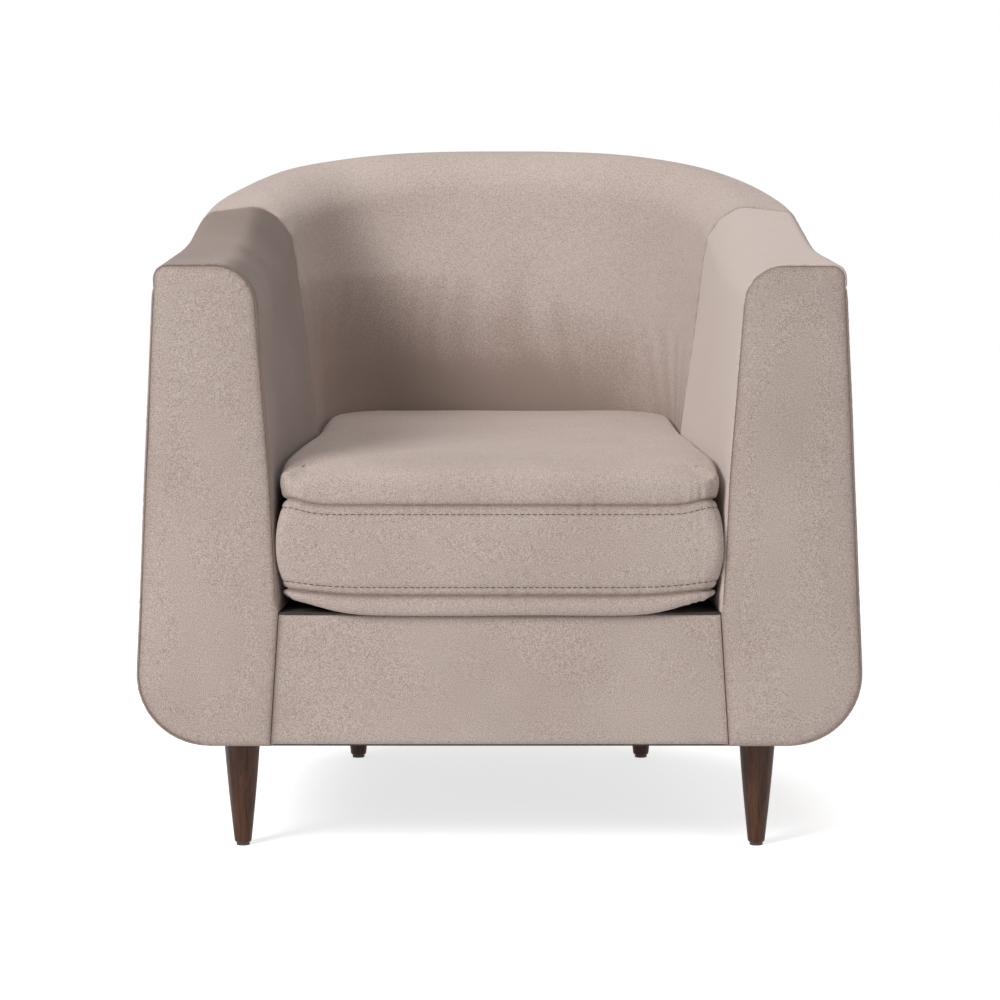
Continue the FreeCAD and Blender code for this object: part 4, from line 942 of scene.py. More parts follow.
class Patch:
    """A flat shape filled with triangles, closer together beside its outline."""

    # In steps: the height of a row of triangles, and how far the inner points keep from rings and holes.
    ROW, RING_GAP, HOLE_GAP = 0.866, 0.6, 0.4
    RING_KEPT, HOLE_CUT, HOLE_SIDES = 0.985, 0.995, 48

    def __init__(self, outline, step, rings=(), holes=()):
        loops = [outline]
        for inset in rings:
            ring = drawn_in(outline, inset)
            loops.append(ring[nearest(ring, outline)[0] > inset * self.RING_KEPT])
        margin = (rings[-1] if rings else 0.0) + step * self.RING_GAP
        low, high = outline.min(axis=0), outline.max(axis=0)
        rows = np.arange(low[1], high[1], step * self.ROW)
        columns = np.arange(low[0], high[0] + step, step)
        inner = np.array([(x + step / 2 * (index % 2), y) for index, y in enumerate(rows) for x in columns])
        inner = inner[self.contains(outline, inner)]
        inner = inner[nearest(inner, outline)[0] > margin]
        for centre, radius in holes:
            inner = inner[np.linalg.norm(inner - centre, axis=1) > radius + step * self.HOLE_GAP]
            turns = np.linspace(0, 2 * math.pi, self.HOLE_SIDES, endpoint=False)
            loops.append(centre + radius * np.stack([np.cos(turns), np.sin(turns)], axis=1))
        points = np.concatenate(loops + [inner])
        found = delaunay_2d_cdt([Vector(point) for point in points], [], [list(range(len(outline)))], 1, 1e-7)
        self.points = np.array([tuple(point) for point in found[0]])
        self.faces = [list(face) for face in found[2]]
        for centre, radius in holes:
            self.faces = [face for face in self.faces
                          if np.linalg.norm(self.points[face].mean(axis=0) - centre) > radius * self.HOLE_CUT]
        self.rim = np.empty(len(outline), dtype=int)
        for index, sources in enumerate(found[3]):
            for source in sources:
                if source < len(outline):
                    self.rim[source] = index
        self.away, self.run = nearest(self.points, outline)

    def area(self):
        """Area of the flat shape."""
        corners = self.points[np.array(self.faces)]
        first, second = corners[:, 1] - corners[:, 0], corners[:, 2] - corners[:, 0]
        return float(np.abs(first[:, 0] * second[:, 1] - first[:, 1] * second[:, 0]).sum()) / 2

    @staticmethod
    def contains(outline, points):
        """Which points lie inside a closed outline."""
        ends = np.roll(outline, -1, axis=0)
        inside = np.zeros(len(points), dtype=bool)
        for (x1, y1), (x2, y2) in zip(outline, ends):
            if y1 == y2:
                continue
            crosses = (y1 > points[:, 1]) != (y2 > points[:, 1])
            inside ^= crosses & (points[:, 0] < (x2 - x1) * (points[:, 1] - y1) / (y2 - y1) + x1)
        return inside


def patch_shell(name, face_points, back_points, faces, material):
    """A closed layer between two matching sheets of points."""
    count = len(face_points)
    sides = {}
    for face in faces:
        for first, second in zip(face, face[1:] + face[:1]):
            if (second, first) in sides:
                del sides[second, first]
            else:
                sides[first, second] = [second, first, first + count, second + count]
    back = [[index + count for index in reversed(face)] for face in faces]
    points = np.concatenate([face_points, back_points])
    return new_piece(name, points, faces + back + list(sides.values()), material)


def declare_flat(patch):
    """Work out a flat patch's area; nothing is kept."""
    patch.area()


class Sizes:
    """Shared base of the operators: the sizes and looks kept on the scene."""

    bl_options = {"REGISTER", "UNDO"}

    @property
    def wall(self):
        """The tub's wall."""
        return Wall(bpy.context.scene.armchair_wall)

    @property
    def cushion(self):
        """The cushion's sizes."""
        return bpy.context.scene.armchair_cushion

    @property
    def look(self):
        """How the cloth looks."""
        return bpy.context.scene.armchair_cloth

    @property
    def trim(self):
        """Sizes of stitches, zip, staples and legs."""
        return bpy.context.scene.armchair_trim


def arm_columns(wall, look):
    """Columns of an arm from its rounded front to its seam: places along the wall, and inset at the front."""
    radius = look.front_round
    lines = wall.station_lines(wall.INSIDE, [SPACING_SHARE])[:LEFT_SEAM + 1, 0]
    run = np.concatenate([[0.0], np.cumsum(np.linalg.norm(np.diff(lines, axis=0), axis=1))])
    spare = radius * (QUARTER - 1.0)
    total = run[-1] + spare
    spots = places_along(total, look.step) * total
    turn = np.minimum(spots / radius, QUARTER)
    depth = np.where(spots < radius * QUARTER, radius * (1.0 - np.cos(turn)), spots - spare)
    inset = radius * (1.0 - np.sin(turn))
    return np.interp(depth, run, range(len(run))), inset


def arm_grid(wall, look, name, places, side):
    """The grid of an arm's cover, rounded over at its front: the left arm's start, the right arm's end."""
    columns, inset = arm_columns(wall, look)
    grid = wall.surface(name, places, columns)
    grid = grid - grid_normals(grid) * inset[:, None, None]
    if side < 0:
        return grid
    return np.ascontiguousarray(grid[::-1]) * np.array((-1.0, 1.0, 1.0))


def wall_places(wall, look, name):
    """Rows from seam to deck, or from hem to seam."""
    middle = wall.station_lines(name, np.linspace(0, 1, 200))[len(wall.stations) // 2]
    return places_along(line_length(middle), look.step, name == wall.INSIDE, name != wall.INSIDE)


class ARMCHAIR_OT_inside_walls(Sizes, Operator):
    """Padded inner walls with their seams"""

    bl_idname = "armchair.inside_walls"
    bl_label = "Inner walls"

    # Painted shade on the back, with brushed streaks: the left arm's shadow to the left and low down, lighter
    # at the top, and shade just over the cushion; where each fade starts or has its middle, and its reach.
    SIDE, SIDE_REACH = 0.10, 0.45
    LOW, LOW_REACH = 0.515, 0.13
    TOP, TOP_REACH, TOP_LOSS = 0.60, 0.10, 2.5
    PRESSED, PRESSED_REACH = 0.51, 0.05
    PRESSED_SIDE, PRESSED_SIDE_REACH = 0.16, 0.10
    STREAK_WAVE, BEND, BEND_WAVE = 0.03, 0.04, 0.2
    MIDDLE_SHARE, STREAK_SHARE, STROKE_SHARE, PRESSED_SHARE, PALE_SHARE = 0.42, 0.12, 0.8, 0.5, 0.12
    EDGE_SHARE = 1.45
    FOAM_FADE = 4 * MM

    def execute(self, context):
        wall, look = self.wall, self.look
        places = wall_places(wall, look, wall.INSIDE)
        left = arm_grid(wall, look, wall.INSIDE, places, -1)
        right = arm_grid(wall, look, wall.INSIDE, places, 1)
        back = wall.surface(wall.INSIDE, places, wall.columns(LEFT_SEAM, RIGHT_SEAM, look.step))
        # Painted shade and light: the left arm's pile is painted darker and the right arm's lighter, for how
        # light falls on the nap.
        self.padded("left_arm_inside", left, ("start", "end"), 11, (0.8, 0.0, -0.35), 0.8,
                    "left_inside_arm_cover", "left_arm_foam")
        self.padded("right_arm_inside", right, ("end", "start"), 12, (-0.7, -0.3, 0.4), -0.6,
                    "right_inside_arm_cover", "right_arm_foam")
        self.padded("back_inside", back, ("", "start", "end"), 13, (-0.3, -0.2, 0.35),
                    self.brushed(back).ravel(), "inside_back_cover", "back_foam")
        return {"FINISHED"}

    def brushed(self, back):
        """Painted shade on the back with brushed streaks: the left arm's shadow to the left and low down,
        streaks, most shade just over the cushion.
        """
        across, height = back[..., 0], back[..., 2]
        shadow_and_streaks = self.MIDDLE_SHARE + (self.SIDE - across) / self.SIDE_REACH
        shadow_and_streaks = shadow_and_streaks + (self.LOW - height) / self.LOW_REACH
        shadow_and_streaks = shadow_and_streaks - self.TOP_LOSS * np.clip((height - self.TOP) / self.TOP_REACH, 0.0, 1.0)
        bent = run_along(back, 0) + self.BEND * unevenness(back, self.BEND_WAVE, 14)
        shadow_and_streaks = np.clip(shadow_and_streaks + self.STREAK_SHARE * ripple(bent, self.STREAK_WAVE, 15), 0.0, 1.0)
        # Painted shade just over the cushion, left of the middle.
        cushion_shade = np.clip((self.PRESSED - height) / self.PRESSED_REACH, 0.0, 1.0)
        cushion_shade = cushion_shade * np.clip((self.PRESSED_SIDE - across) / self.PRESSED_SIDE_REACH, 0.0, 1.0)
        return shadow_and_streaks * self.STROKE_SHARE - self.PALE_SHARE + self.PRESSED_SHARE * cushion_shade

    def padded(self, name, grid, edges, seed, nap, brushed, *nodes):
        """One padded wall: the first edge named is the arm's front, the others are seams with the back."""
        wall, look = self.wall, self.look
        sewn = Sewn(grid, look, seed)
        sewn.soften()
        if edges[0]:
            sewn.seam(edges[0], 0.6, 1.0, 0.011)
        for edge in edges[1:]:
            sewn.seam(edge, 0.85, 0.8, 0.018)
        sewn.seam("low", 0.8, 0.7, 0.016)
        thickness = self.thickness(grid, wall.sizes)
        under = grid - sewn.normals * thickness[..., None]
        piece = cloth_shell(name, sewn, under, finish("velvet"), nap, brushed)
        belongs(piece, "tub", "velvet", *nodes)

    def thickness(self, grid, sizes):
        """Cover alone round the outer edge and over the arm front's board, and foam under it elsewhere."""
        across = run_along(grid, 1)
        edge = sizes.seam_drop + sizes.edge_radius * self.EDGE_SHARE
        inner = np.clip((across - edge) / self.FOAM_FADE, 0.0, 1.0)
        board = np.clip((grid[..., 1] - FRONT - BOARD_REAR) / self.FOAM_FADE, 0.0, 1.0)
        return mix(sizes.cover, sizes.padding, inner * board)


class ARMCHAIR_OT_outside_walls(Sizes, Operator):
    """Stretched outer covers with their seams and hems"""

    bl_idname = "armchair.outside_walls"
    bl_label = "Outer walls"

    def execute(self, context):
        wall, look = self.wall, self.look
        places = wall_places(wall, look, wall.OUTSIDE)
        left = arm_grid(wall, look, wall.OUTSIDE, places, -1)
        right = arm_grid(wall, look, wall.OUTSIDE, places, 1)
        back = wall.surface(wall.OUTSIDE, places, wall.columns(LEFT_SEAM, RIGHT_SEAM, look.step))
        self.stretched("left_arm_outside", left, ("start", "end"), 21, "left_outside_arm_cover",
                       "left_outside_arm_liner")
        self.stretched("right_arm_outside", right, ("end", "start"), 22, "right_outside_arm_cover",
                       "right_outside_arm_liner")
        self.stretched("back_outside", back, ("", "start", "end"), 23, "outside_back_cover",
                       "centre_back_liner")
        return {"FINISHED"}

    def stretched(self, name, grid, edges, seed, node_name, liner):
        """One outer cover over its liner."""
        sewn = Sewn(grid, self.look, seed)
        sewn.soften(0.5, 0.16)
        if edges[0]:
            sewn.seam(edges[0], 0.3, 0.25, 0.012)
        for edge in edges[1:]:
            sewn.seam(edge, 0.5, 0.5, 0.02)
        sewn.seam("high", 0.5, 0.45, 0.018)
        under = sewn.points() - sewn.normals * self.wall.sizes.cover
        piece = cloth_shell(name, sewn, under, finish("velvet"))
        belongs(piece, "tub", "velvet", node_name)


class ARMCHAIR_OT_arm_fronts(Sizes, Operator):
    """Padded panels on the fronts of the arms"""

    bl_idname = "armchair.arm_fronts"
    bl_label = "Arm fronts"

    OUTLINE_STEP = 1.6 * MM
    FILL_STEP = 4.4 * MM
    RINGS = [0.7 * MM, 1.6 * MM, 2.8 * MM, 4.3 * MM, 6.2 * MM, 8.6 * MM, 11.6 * MM]
    SEAM_CLEARANCE = 0.2 * MM
    # The panel's seam runs inside the section, but on it along the underside and beside the apron.
    UNDER_BAND, HEEL_START, HEEL_REACH = 4 * MM, 6 * MM, 24 * MM
    SEAT_BAND, SEAT_REACH, SEAT_SIDE = 20 * MM, 14 * MM, 1 * MM
    BULGE_REACH = 15 * MM
    GROOVE_SHARE, PUCKER_SHARE, SOFT_SHARE = 0.6, 1.5, 0.5
    PUCKER_WAVE, SOFT_WAVE = 0.012, 0.13
    NAP = (0.0, 0.0, -0.3)

    def execute(self, context):
        outline, insets = self.outline()
        for side, name in ((-1, "left"), (1, "right")):
            self.panel(side, name, drawn_in(outline, insets))
        return {"FINISHED"}

    def outline(self):
        """The section at the front, and how far inside it the panel's seam runs at each point."""
        wall, look = self.wall, self.look
        points, radii = wall.corners(0.0, 0.0)
        outline = closed_line(rounded(points, radii, 24)[0], self.OUTLINE_STEP)
        foot, heel = points[0][0], points[1][0] - wall.sizes.front_corner
        low = outline[:, 1] < UNDERSIDE + self.UNDER_BAND
        outer = (outline[:, 0] - heel + self.HEEL_START) / self.HEEL_REACH
        inner = (outline[:, 1] - DECK) / self.SEAT_REACH
        beside_seat = (outline[:, 0] < foot + self.SEAT_SIDE) & (outline[:, 1] < DECK + self.SEAT_BAND)
        share = np.where(low, outer, np.where(beside_seat, inner, 1.0))
        return outline, look.front_round * smooth(share) + self.SEAM_CLEARANCE

    def panel(self, side, name, outline):
        """One panel with its wadding: bulged, with a groove and puckers at the seam."""
        look = self.look
        patch = Patch(outline, self.FILL_STEP, self.RINGS)
        away, run = patch.away, patch.run
        height = look.panel_bulge * (1.0 - np.exp(-away / self.BULGE_REACH))
        height -= look.groove * self.GROOVE_SHARE * np.exp(-away / look.groove_width)
        rise = np.exp(-away / look.pucker_reach) * (1.0 - np.exp(-away / look.groove_width))
        height += look.pucker * self.PUCKER_SHARE * ripple(run, self.PUCKER_WAVE, 31 + side) * rise
        flat = np.stack([patch.points[:, 0] * side, np.full(len(patch.points), FRONT), patch.points[:, 1]],
                        axis=1)
        height += look.softness * self.SOFT_SHARE * unevenness(flat, self.SOFT_WAVE, 41 + side)
        face = flat - np.array((0.0, 1.0, 0.0)) * height[:, None]
        back = flat + np.array((0.0, WADDING_REAR, 0.0))
        piece = patch_shell(f"{name}_arm_front", face, back, patch.faces, finish("velvet"))
        # Painted shade in the groove round the panel's seam.
        keep_values(piece, np.tile(self.NAP, (2 * len(face), 1)),
                    np.concatenate([np.exp(-away / SEAM_SHADE), away * 0]))
        belongs(piece, "tub", "velvet", f"{name}_arm_front_panel", f"{name}_arm_front_wadding")


def deck_reach(wall, share, angle):
    """Reach of the inner wall at the deck."""
    return wall.corners(share, angle)[0][-1][0]


def seat_outline(wall, front, ease, step):
    """Just inside the inner wall at the deck, from a depth behind the front plane, anticlockwise."""
    first = deck_reach(wall, front / wall.sizes.fan_depth, 0.0) - ease
    points = [(-first, FRONT + front), (first, FRONT + front)]
    for angle in np.linspace(0.0, 2 * QUARTER, 8 * BACK_STEPS + 1).tolist():
        reach = deck_reach(wall, 1.0, angle) - ease
        points.append((reach * math.cos(angle), FRONT + wall.sizes.fan_depth + reach * math.sin(angle)))
    return closed_line(np.array(points), step)


class ARMCHAIR_OT_base(Sizes, Operator):
    """Apron, deck, dust cover and its staples"""

    bl_idname = "armchair.base"
    bl_label = "Apron, deck and underside"

    # Apron: lift of its rear edge, roundings, ease beside the arms, and where its softness fades in.
    APRON_LIFT = 2.4 * MM
    APRON_ROUND_UNDER, APRON_ROUND_TOP = 5 * MM, 4 * MM
    APRON_EASE = 0.5 * MM
    APRON_FLAT, APRON_FADE = 4 * MM, 12 * MM
    APRON_NAP = (0.0, 0.0, -0.3)
    # Deck: ease inside the walls, mesh, sag, unevenness, and what sets the foam and the cloth apart.
    DECK_EASE = 0.3 * MM
    DECK_OUTLINE_STEP, DECK_STEP = 5 * MM, 9 * MM
    DECK_RINGS = [2.5 * MM, 5 * MM]
    DECK_SAG, DECK_SAG_REACH = 0.9 * MM, 60 * MM
    DECK_WAVE, DECK_WAVE_REACH = 0.25 * MM, 10 * MM
    FOAM_EDGE, FOAM_EDGE_REACH = 1.6 * MM, 2 * MM
    CLOTH_DROP, CLOTH_THINNING = 0.3 * MM, 0.4 * MM
    DECK_TURNED_IN = 2 * MM
    # Dust cover: inset from the hems, mesh, slack, holes round the legs, and its staples.
    UNDER_INSET = 1.5 * MM
    UNDER_OUTLINE_STEP, UNDER_STEP = 6 * MM, 11 * MM
    UNDER_RINGS = [3 * MM]
    UNDER_WAVE, UNDER_WAVE_REACH, UNDER_WAVE_MOST = 0.35 * MM, 14 * MM, 0.8 * MM
    LEG_HOLE = 21.4 * MM
    STAPLE_INSET = 6 * MM
    STAPLE_HEIGHT, STAPLE_LENGTH, STAPLE_TURN = 0.7 * MM, 0.9 * MM, 0.12

    def execute(self, context):
        self.apron()
        self.deck()
        self.dust_cover()
        return {"FINISHED"}

    def apron(self):
        """The front apron over its foam: rounded over at the top and under at the bottom."""
        look = self.look
        low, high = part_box("front_apron_cover")
        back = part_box("apron_pad")[1].y
        corners = [(back, low.z + self.APRON_LIFT), (low.y, low.z), (low.y, high.z), (back, high.z)]
        profile, _ = rounded(corners, [0.0, self.APRON_ROUND_UNDER, self.APRON_ROUND_TOP, 0.0], 8)
        rows = resampled(profile, places_along(line_length(profile), look.step, False, False))
        narrow = deck_reach(self.wall, 0.0, 0.0) - self.APRON_EASE
        spread = narrow + self.wall.sizes.foot_spread
        half = np.interp(rows[:, 1], [low.z, high.z], [spread, narrow])
        shares = places_along(2 * spread, look.step) * 2 - 1
        depth, height = [np.tile(line, (len(shares), 1)) for line in rows.T]
        grid = np.stack([shares[:, None] * half[None, :], depth, height], axis=2)
        sewn = Sewn(grid, look, 51)
        sewn.soften(0.8, 0.14)
        sewn.lift *= np.clip((grid[..., 2] - low.z - self.APRON_FLAT) / self.APRON_FADE, 0.0, 1.0)
        sewn.seam("start", 0.5, 0.8, 0.015)
        sewn.seam("end", 0.5, 0.8, 0.015)
        under = grid.copy()
        under[..., 1] = back
        piece = cloth_shell("front_apron", sewn, under, finish("velvet"))
        lean = piece.data.attributes["nap"].data
        lean.foreach_set("vector", np.tile(self.APRON_NAP, len(piece.data.vertices)))
        belongs(piece, "tub", "velvet", "front_apron_cover", "apron_pad")

    def deck(self):
        """Deck cloth stretched over the deck pad."""
        layers = (("deck_foam", "deck_pad", "foam"), ("deck_sheet", "deck_cloth", "deck_fabric"))
        for name, node_name, slot in layers:
            low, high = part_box(node_name)
            outline = seat_outline(self.wall, low.y - FRONT, self.DECK_EASE, self.DECK_OUTLINE_STEP)
            patch = Patch(outline, self.DECK_STEP, self.DECK_RINGS)
            top = np.concatenate([patch.points, np.zeros((len(patch.points), 1))], axis=1)
            sag = (1.0 - np.exp(-patch.away / self.DECK_SAG_REACH)) * self.DECK_SAG
            waves = unevenness(top, 0.06, 61) * (1.0 - np.exp(-patch.away / self.DECK_WAVE_REACH))
            sag += self.DECK_WAVE * waves
            if slot == "foam":
                sag += self.FOAM_EDGE * np.exp(-patch.away / self.FOAM_EDGE_REACH)
            else:
                sag += self.CLOTH_DROP
            top[:, 2] = high.z - sag
            bottom = top.copy()
            bottom[:, 2] = low.z if slot == "foam" else top[:, 2] - (high.z - low.z) + self.CLOTH_THINNING
            piece = patch_shell(name, top, bottom, patch.faces, finish(slot))
            belongs(piece, "tub", slot, node_name)
            if slot == "foam":
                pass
            else:
                declare_flat(patch)

    def dust_cover(self):
        """Black cloth under the tub, stapled along its edge."""
        wall, trim = self.wall, self.trim
        low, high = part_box("dust_cover")
        inset = wall.sizes.hem + self.UNDER_INSET
        points = []
        for share, angle, side in reversed(wall.stations):
            line, marks = rounded(*wall.corners(share, angle))
            reach = line[marks[1]][0] - inset
            points.append((reach * math.cos(angle) * side,
                           max(FRONT + wall.sizes.fan_depth * share + reach * math.sin(angle), low.y)))
        outline = closed_line(np.array(points), self.UNDER_OUTLINE_STEP)
        holes = []
        for leg in LEGS:
            corner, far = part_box(leg)
            holes.append((np.array(((corner.x + far.x) / 2, (corner.y + far.y) / 2)), self.LEG_HOLE))
        patch = Patch(outline, self.UNDER_STEP, self.UNDER_RINGS, holes)
        under = np.concatenate([patch.points, np.full((len(patch.points), 1), low.z)], axis=1)
        wave = self.UNDER_WAVE * (1 + unevenness(under, 0.05, 71))
        wave *= 1.0 - np.exp(-patch.away / self.UNDER_WAVE_REACH)
        under[:, 2] += np.clip(wave, 0, self.UNDER_WAVE_MOST)
        top = under + np.array((0.0, 0.0, high.z - low.z))
        piece = patch_shell("underside_cloth", under, top, patch.faces, finish("black_nonwoven"))
        belongs(piece, "tub", "black_nonwoven", "dust_cover")
        declare_flat(patch)
        path = drawn_in(outline, self.STAPLE_INSET)
        path = np.concatenate([path, np.full((len(path), 1), low.z)], axis=1)
        values = {"Pitch": trim.staple_pitch, "Width": trim.staple, "Height": self.STAPLE_HEIGHT,
                  "Length": self.STAPLE_LENGTH, "Turn": self.STAPLE_TURN}
        staples = repeated("underside_staples", [path], True, bar_tree(), values, finish("steel"))
        belongs(staples, "tub", "steel")


class ARMCHAIR_OT_legs(Sizes, Operator):
    """Turned, tapered legs"""

    bl_idname = "armchair.legs"
    bl_label = "Legs"

    TOE_ROUND, TOE_STEPS = 3 * MM, 6
    SHANK_STEPS = 24
    TOP_BEVEL = 1 * MM

    def execute(self, context):
        for name in LEGS:
            self.leg(name)
        return {"FINISHED"}

    def leg(self, name):
        """One leg: its profile from the toe's middle up to the top's middle, turned."""
        trim = self.trim
        low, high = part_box(name)
        toe, top = trim.leg_toe / 2, trim.leg_top / 2
        foot = toe - self.TOE_ROUND
        profile = [(0.0, low.z), (foot, low.z)]
        for step in range(1, self.TOE_STEPS + 1):
            turn = QUARTER * step / self.TOE_STEPS
            profile.append((foot + self.TOE_ROUND * math.sin(turn),
                            low.z + self.TOE_ROUND - self.TOE_ROUND * math.cos(turn)))
        for step in range(1, self.SHANK_STEPS + 1):
            share = step / self.SHANK_STEPS
            swell = trim.leg_swell * math.sin(math.pi * share)
            height = mix(low.z + self.TOE_ROUND, high.z - self.TOP_BEVEL, share)
            profile.append((mix(toe, top, share) + swell, height))
        profile += [(top - self.TOP_BEVEL, high.z), (0.0, high.z)]
        points, faces = turned(profile, ((low.x + high.x) / 2, (low.y + high.y) / 2), trim.leg_faces)
        piece = new_piece(name.replace("_leg", "_turned_leg"), points, faces, finish("walnut"))
        belongs(piece, "tub", "walnut", name)


class CushionShape:
    """The loose cushion as rows round its seams, closed by a patch at its top and one at its bottom."""

    # How far in the panels' profiles reach, how far on the patches inside them rise, and the plan's corners.
    DEPTH, SPREAD = 28 * MM, 100 * MM
    INNER_FRONT_CORNER, INNER_REAR_CORNER = 34 * MM, 55 * MM
    SHOULDER_DEPTH, WAIST_DEPTH = 0.05, 0.3
    SHOULDER_RADIUS, WAIST_RADIUS = 0.3, 0.4
    # Where the front's profile turns into the side's, the boxing's bulge, and the lift of the front corners.
    FRONT_TURN, FRONT_TURN_REACH = 0.9, 0.5
    BULGE_POWER = 2.2
    WIDE_LIFT, NARROW_LIFT = 50 * MM, 26 * MM
    LOW_FADE, HIGH_FADE = 30 * MM, 12 * MM
    # Profiles in millimetres from the seam, as inset and height with the radius of each corner.
    CROWN_FRONT = [(0, 0), (-3.4, 15), (3.5, 34), (20, 39.5)], [0, 34, 24, 0]
    CROWN_SIDE = [(0, 0), (-5, 22), (-2, 45), (20, 45.5)], [0, 40, 10, 0]
    BELLY_FRONT = [(0, 0), (-6, 9), (-2, 22), (6.2, 22), (9, 18), (20, 18)], [0, 16, 7, 3.5, 3.5, 0]
    BELLY_SIDE = [(0, 0), (-3, 9), (3, 18), (20, 18)], [0, 12, 6, 0]

    def __init__(self, sizes, step):
        self.sizes = sizes
        s = sizes
        self.outline = self.plan(0.0, s.front_corner, s.rear_corner, step)
        self.inner = self.plan(self.DEPTH, self.INNER_FRONT_CORNER, self.INNER_REAR_CORNER, step,
                               len(self.outline))
        self.middle = self.plan(-s.draw_in, s.bulge_corner, s.rear_corner, step, len(self.outline), s.lobe)
        ahead = np.roll(self.outline, -1, axis=0) - np.roll(self.outline, 1, axis=0)
        self.outwards = unit(np.stack([ahead[:, 1], -ahead[:, 0]], axis=1))
        forwards = np.maximum(-self.outwards[:, 1], 0.0)
        self.sideways = smooth((self.FRONT_TURN - forwards) / self.FRONT_TURN_REACH)
        self.points = []
        self.seam_away = []
        self.rows = []
        self.faces = []
        self.marks = {}

    def near_corner(self, points, reach):
        """How near plan points are to a front corner, from 0 to 1."""
        away = np.hypot(np.abs(points[:, 0]) - self.sizes.front_half, points[:, 1] - CUSHION_LOW.y)
        return np.exp(-(away / reach) ** 2)

    def plan(self, inset, front_radius, rear_radius, step, count=None, lobe=0.0):
        """An outline of the cushion, anticlockwise from the middle of its rear."""
        s = self.sizes
        points = [(s.front_half - inset + lobe, CUSHION_LOW.y - s.proud + inset),
                  (s.shoulder_half - inset, FRONT + self.SHOULDER_DEPTH),
                  (s.waist_half - inset, FRONT + self.WAIST_DEPTH),
                  (s.rear_half - inset, CUSHION_REAR - inset)]
        points += [(-x, y) for x, y in reversed(points)]
        radii = [front_radius, self.SHOULDER_RADIUS, self.WAIST_RADIUS, rear_radius]
        line, _ = rounded(points, radii + radii[::-1], 40)
        line = closed_line(line, 1 * MM)
        first = int(np.argmin(np.abs(line[:, 0]) + (line[:, 1] < 0)))
        line = np.roll(line, -first, axis=0)
        line[0, 0] = 0.0
        whole = np.concatenate([line, line[:1]])
        count = count or int(round(line_length(whole) / step))
        return resampled(whole, np.linspace(0.0, 1.0, count + 1))[:-1]

    def ring(self, inset):
        """A line round the cushion between its seams' line and the inner one."""
        return mix(self.outline, self.inner, inset / self.DEPTH)

    def add_row(self, ring, height, away):
        """One row of points."""
        first = sum(len(block) for block in self.points)
        self.points.append(np.column_stack([ring, np.zeros(len(ring)) + height]))
        self.seam_away.append(np.full(len(ring), away))
        self.rows.append(np.arange(first, first + len(ring)))

    def panel_rows(self, front, side, seam, rise, step):
        """Rows over the swelling of a panel: one profile at the front, another at the sides and rear."""
        front, side = [rounded(points, radii, 30)[0] * MM for points, radii in (front, side)]
        total = line_length(side)
        places = places_along(total, step, True, False)[1:]
        rows = []
        for ahead, beside, place in zip(resampled(front, places), resampled(side, places), places):
            inset, height = mix(ahead[:, None], beside[:, None], self.sideways)
            ring = self.ring(np.maximum(inset, 0.0)[:, None])
            ring = ring - self.outwards * np.minimum(inset, 0.0)[:, None]
            rows.append((ring, seam + height * rise, place * total))
        return rows

    def build(self, step):
        """Rows from the bottom patch up to the top one, then both patches and all faces."""
        s = self.sizes
        belly = self.panel_rows(self.BELLY_FRONT, self.BELLY_SIDE, s.bottom_seam, -1.0, step)
        crown = self.panel_rows(self.CROWN_FRONT, self.CROWN_SIDE, s.top_seam, 1.0, step)
        for row in reversed(belly):
            self.add_row(*row)
        self.marks["bottom_seam"] = len(self.rows)
        tall = s.top_seam - s.bottom_seam
        stitch = s.stitch_row / tall
        for share in np.unique(np.concatenate([places_along(tall, step), [stitch, 1.0 - stitch]])):
            bulge = 1.0 - abs(2.0 * share - 1.0) ** self.BULGE_POWER
            ring = mix(self.outline, self.middle, bulge)
            self.add_row(ring, s.bottom_seam + tall * share, min(share, 1.0 - share) * tall)
            if share in (stitch, 1.0 - stitch):
                self.marks.setdefault("stitches", []).append(self.rows[-1])
        self.marks["top_seam"] = len(self.rows) - 1
        for row in crown:
            self.add_row(*row)
        for first, second in zip(self.rows[:-1], self.rows[1:]):
            closed = np.stack([np.append(first, first[0]), np.append(second, second[0])])
            self.faces += quads(closed).tolist()
        self.close(self.rows[0], belly[-1], s.base, step)
        self.close(self.rows[-1], crown[-1], s.crown, step)
        return np.concatenate(self.points), np.concatenate(self.seam_away)

    def close(self, rim, last_row, middle, step):
        """Fill the opening inside a row with a patch that runs on to the height of its middle."""
        patch = Patch(last_row[0], step * 1.25, [step * 0.7, step * 1.6])
        first = sum(len(block) for block in self.points)
        number = np.full(len(patch.points), -1)
        number[patch.rim] = rim
        inner = number < 0
        number[inner] = first + np.arange(inner.sum())
        gaps = patch.points[inner][:, None] - last_row[0][None]
        weights = (np.square(gaps).sum(axis=2) + 1e-9) ** -1.5
        edge = weights @ last_row[1] / weights.sum(axis=1)
        grown = 1.0 - (1.0 - np.clip(patch.away[inner] / self.SPREAD, 0.0, 1.0)) ** 2
        self.points.append(np.column_stack([patch.points[inner], mix(edge, middle, grown)]))
        self.seam_away.append((patch.away + last_row[2])[inner])
        self.marks.setdefault("inner", []).append(number[inner])
        self.faces += number[np.array(patch.faces)].tolist()

    def warp(self, points):
        """Lift the bottom and both seams at the front corners, and lower the top there."""
        s = self.sizes
        heights = (s.base, s.bottom_seam, s.top_seam, mix(s.top_seam, s.crown, 0.6), s.crown)
        lift = np.interp(points[:, 2], heights, (s.belly_lift, s.belly_lift * 0.35, s.corner_lift, 0.0,
                                                 -s.corner_drop))
        wide = self.near_corner(points, self.WIDE_LIFT)
        narrow = self.near_corner(points, self.NARROW_LIFT)
        low = np.clip((mix(s.bottom_seam, s.top_seam, 0.3) - points[:, 2]) / self.LOW_FADE, 0.0, 1.0)
        high = np.clip((points[:, 2] - mix(s.top_seam, s.crown, 0.5)) / self.HIGH_FADE, 0.0, 1.0)
        points[:, 2] += lift * mix(narrow, wide, np.maximum(low, high))
        return points


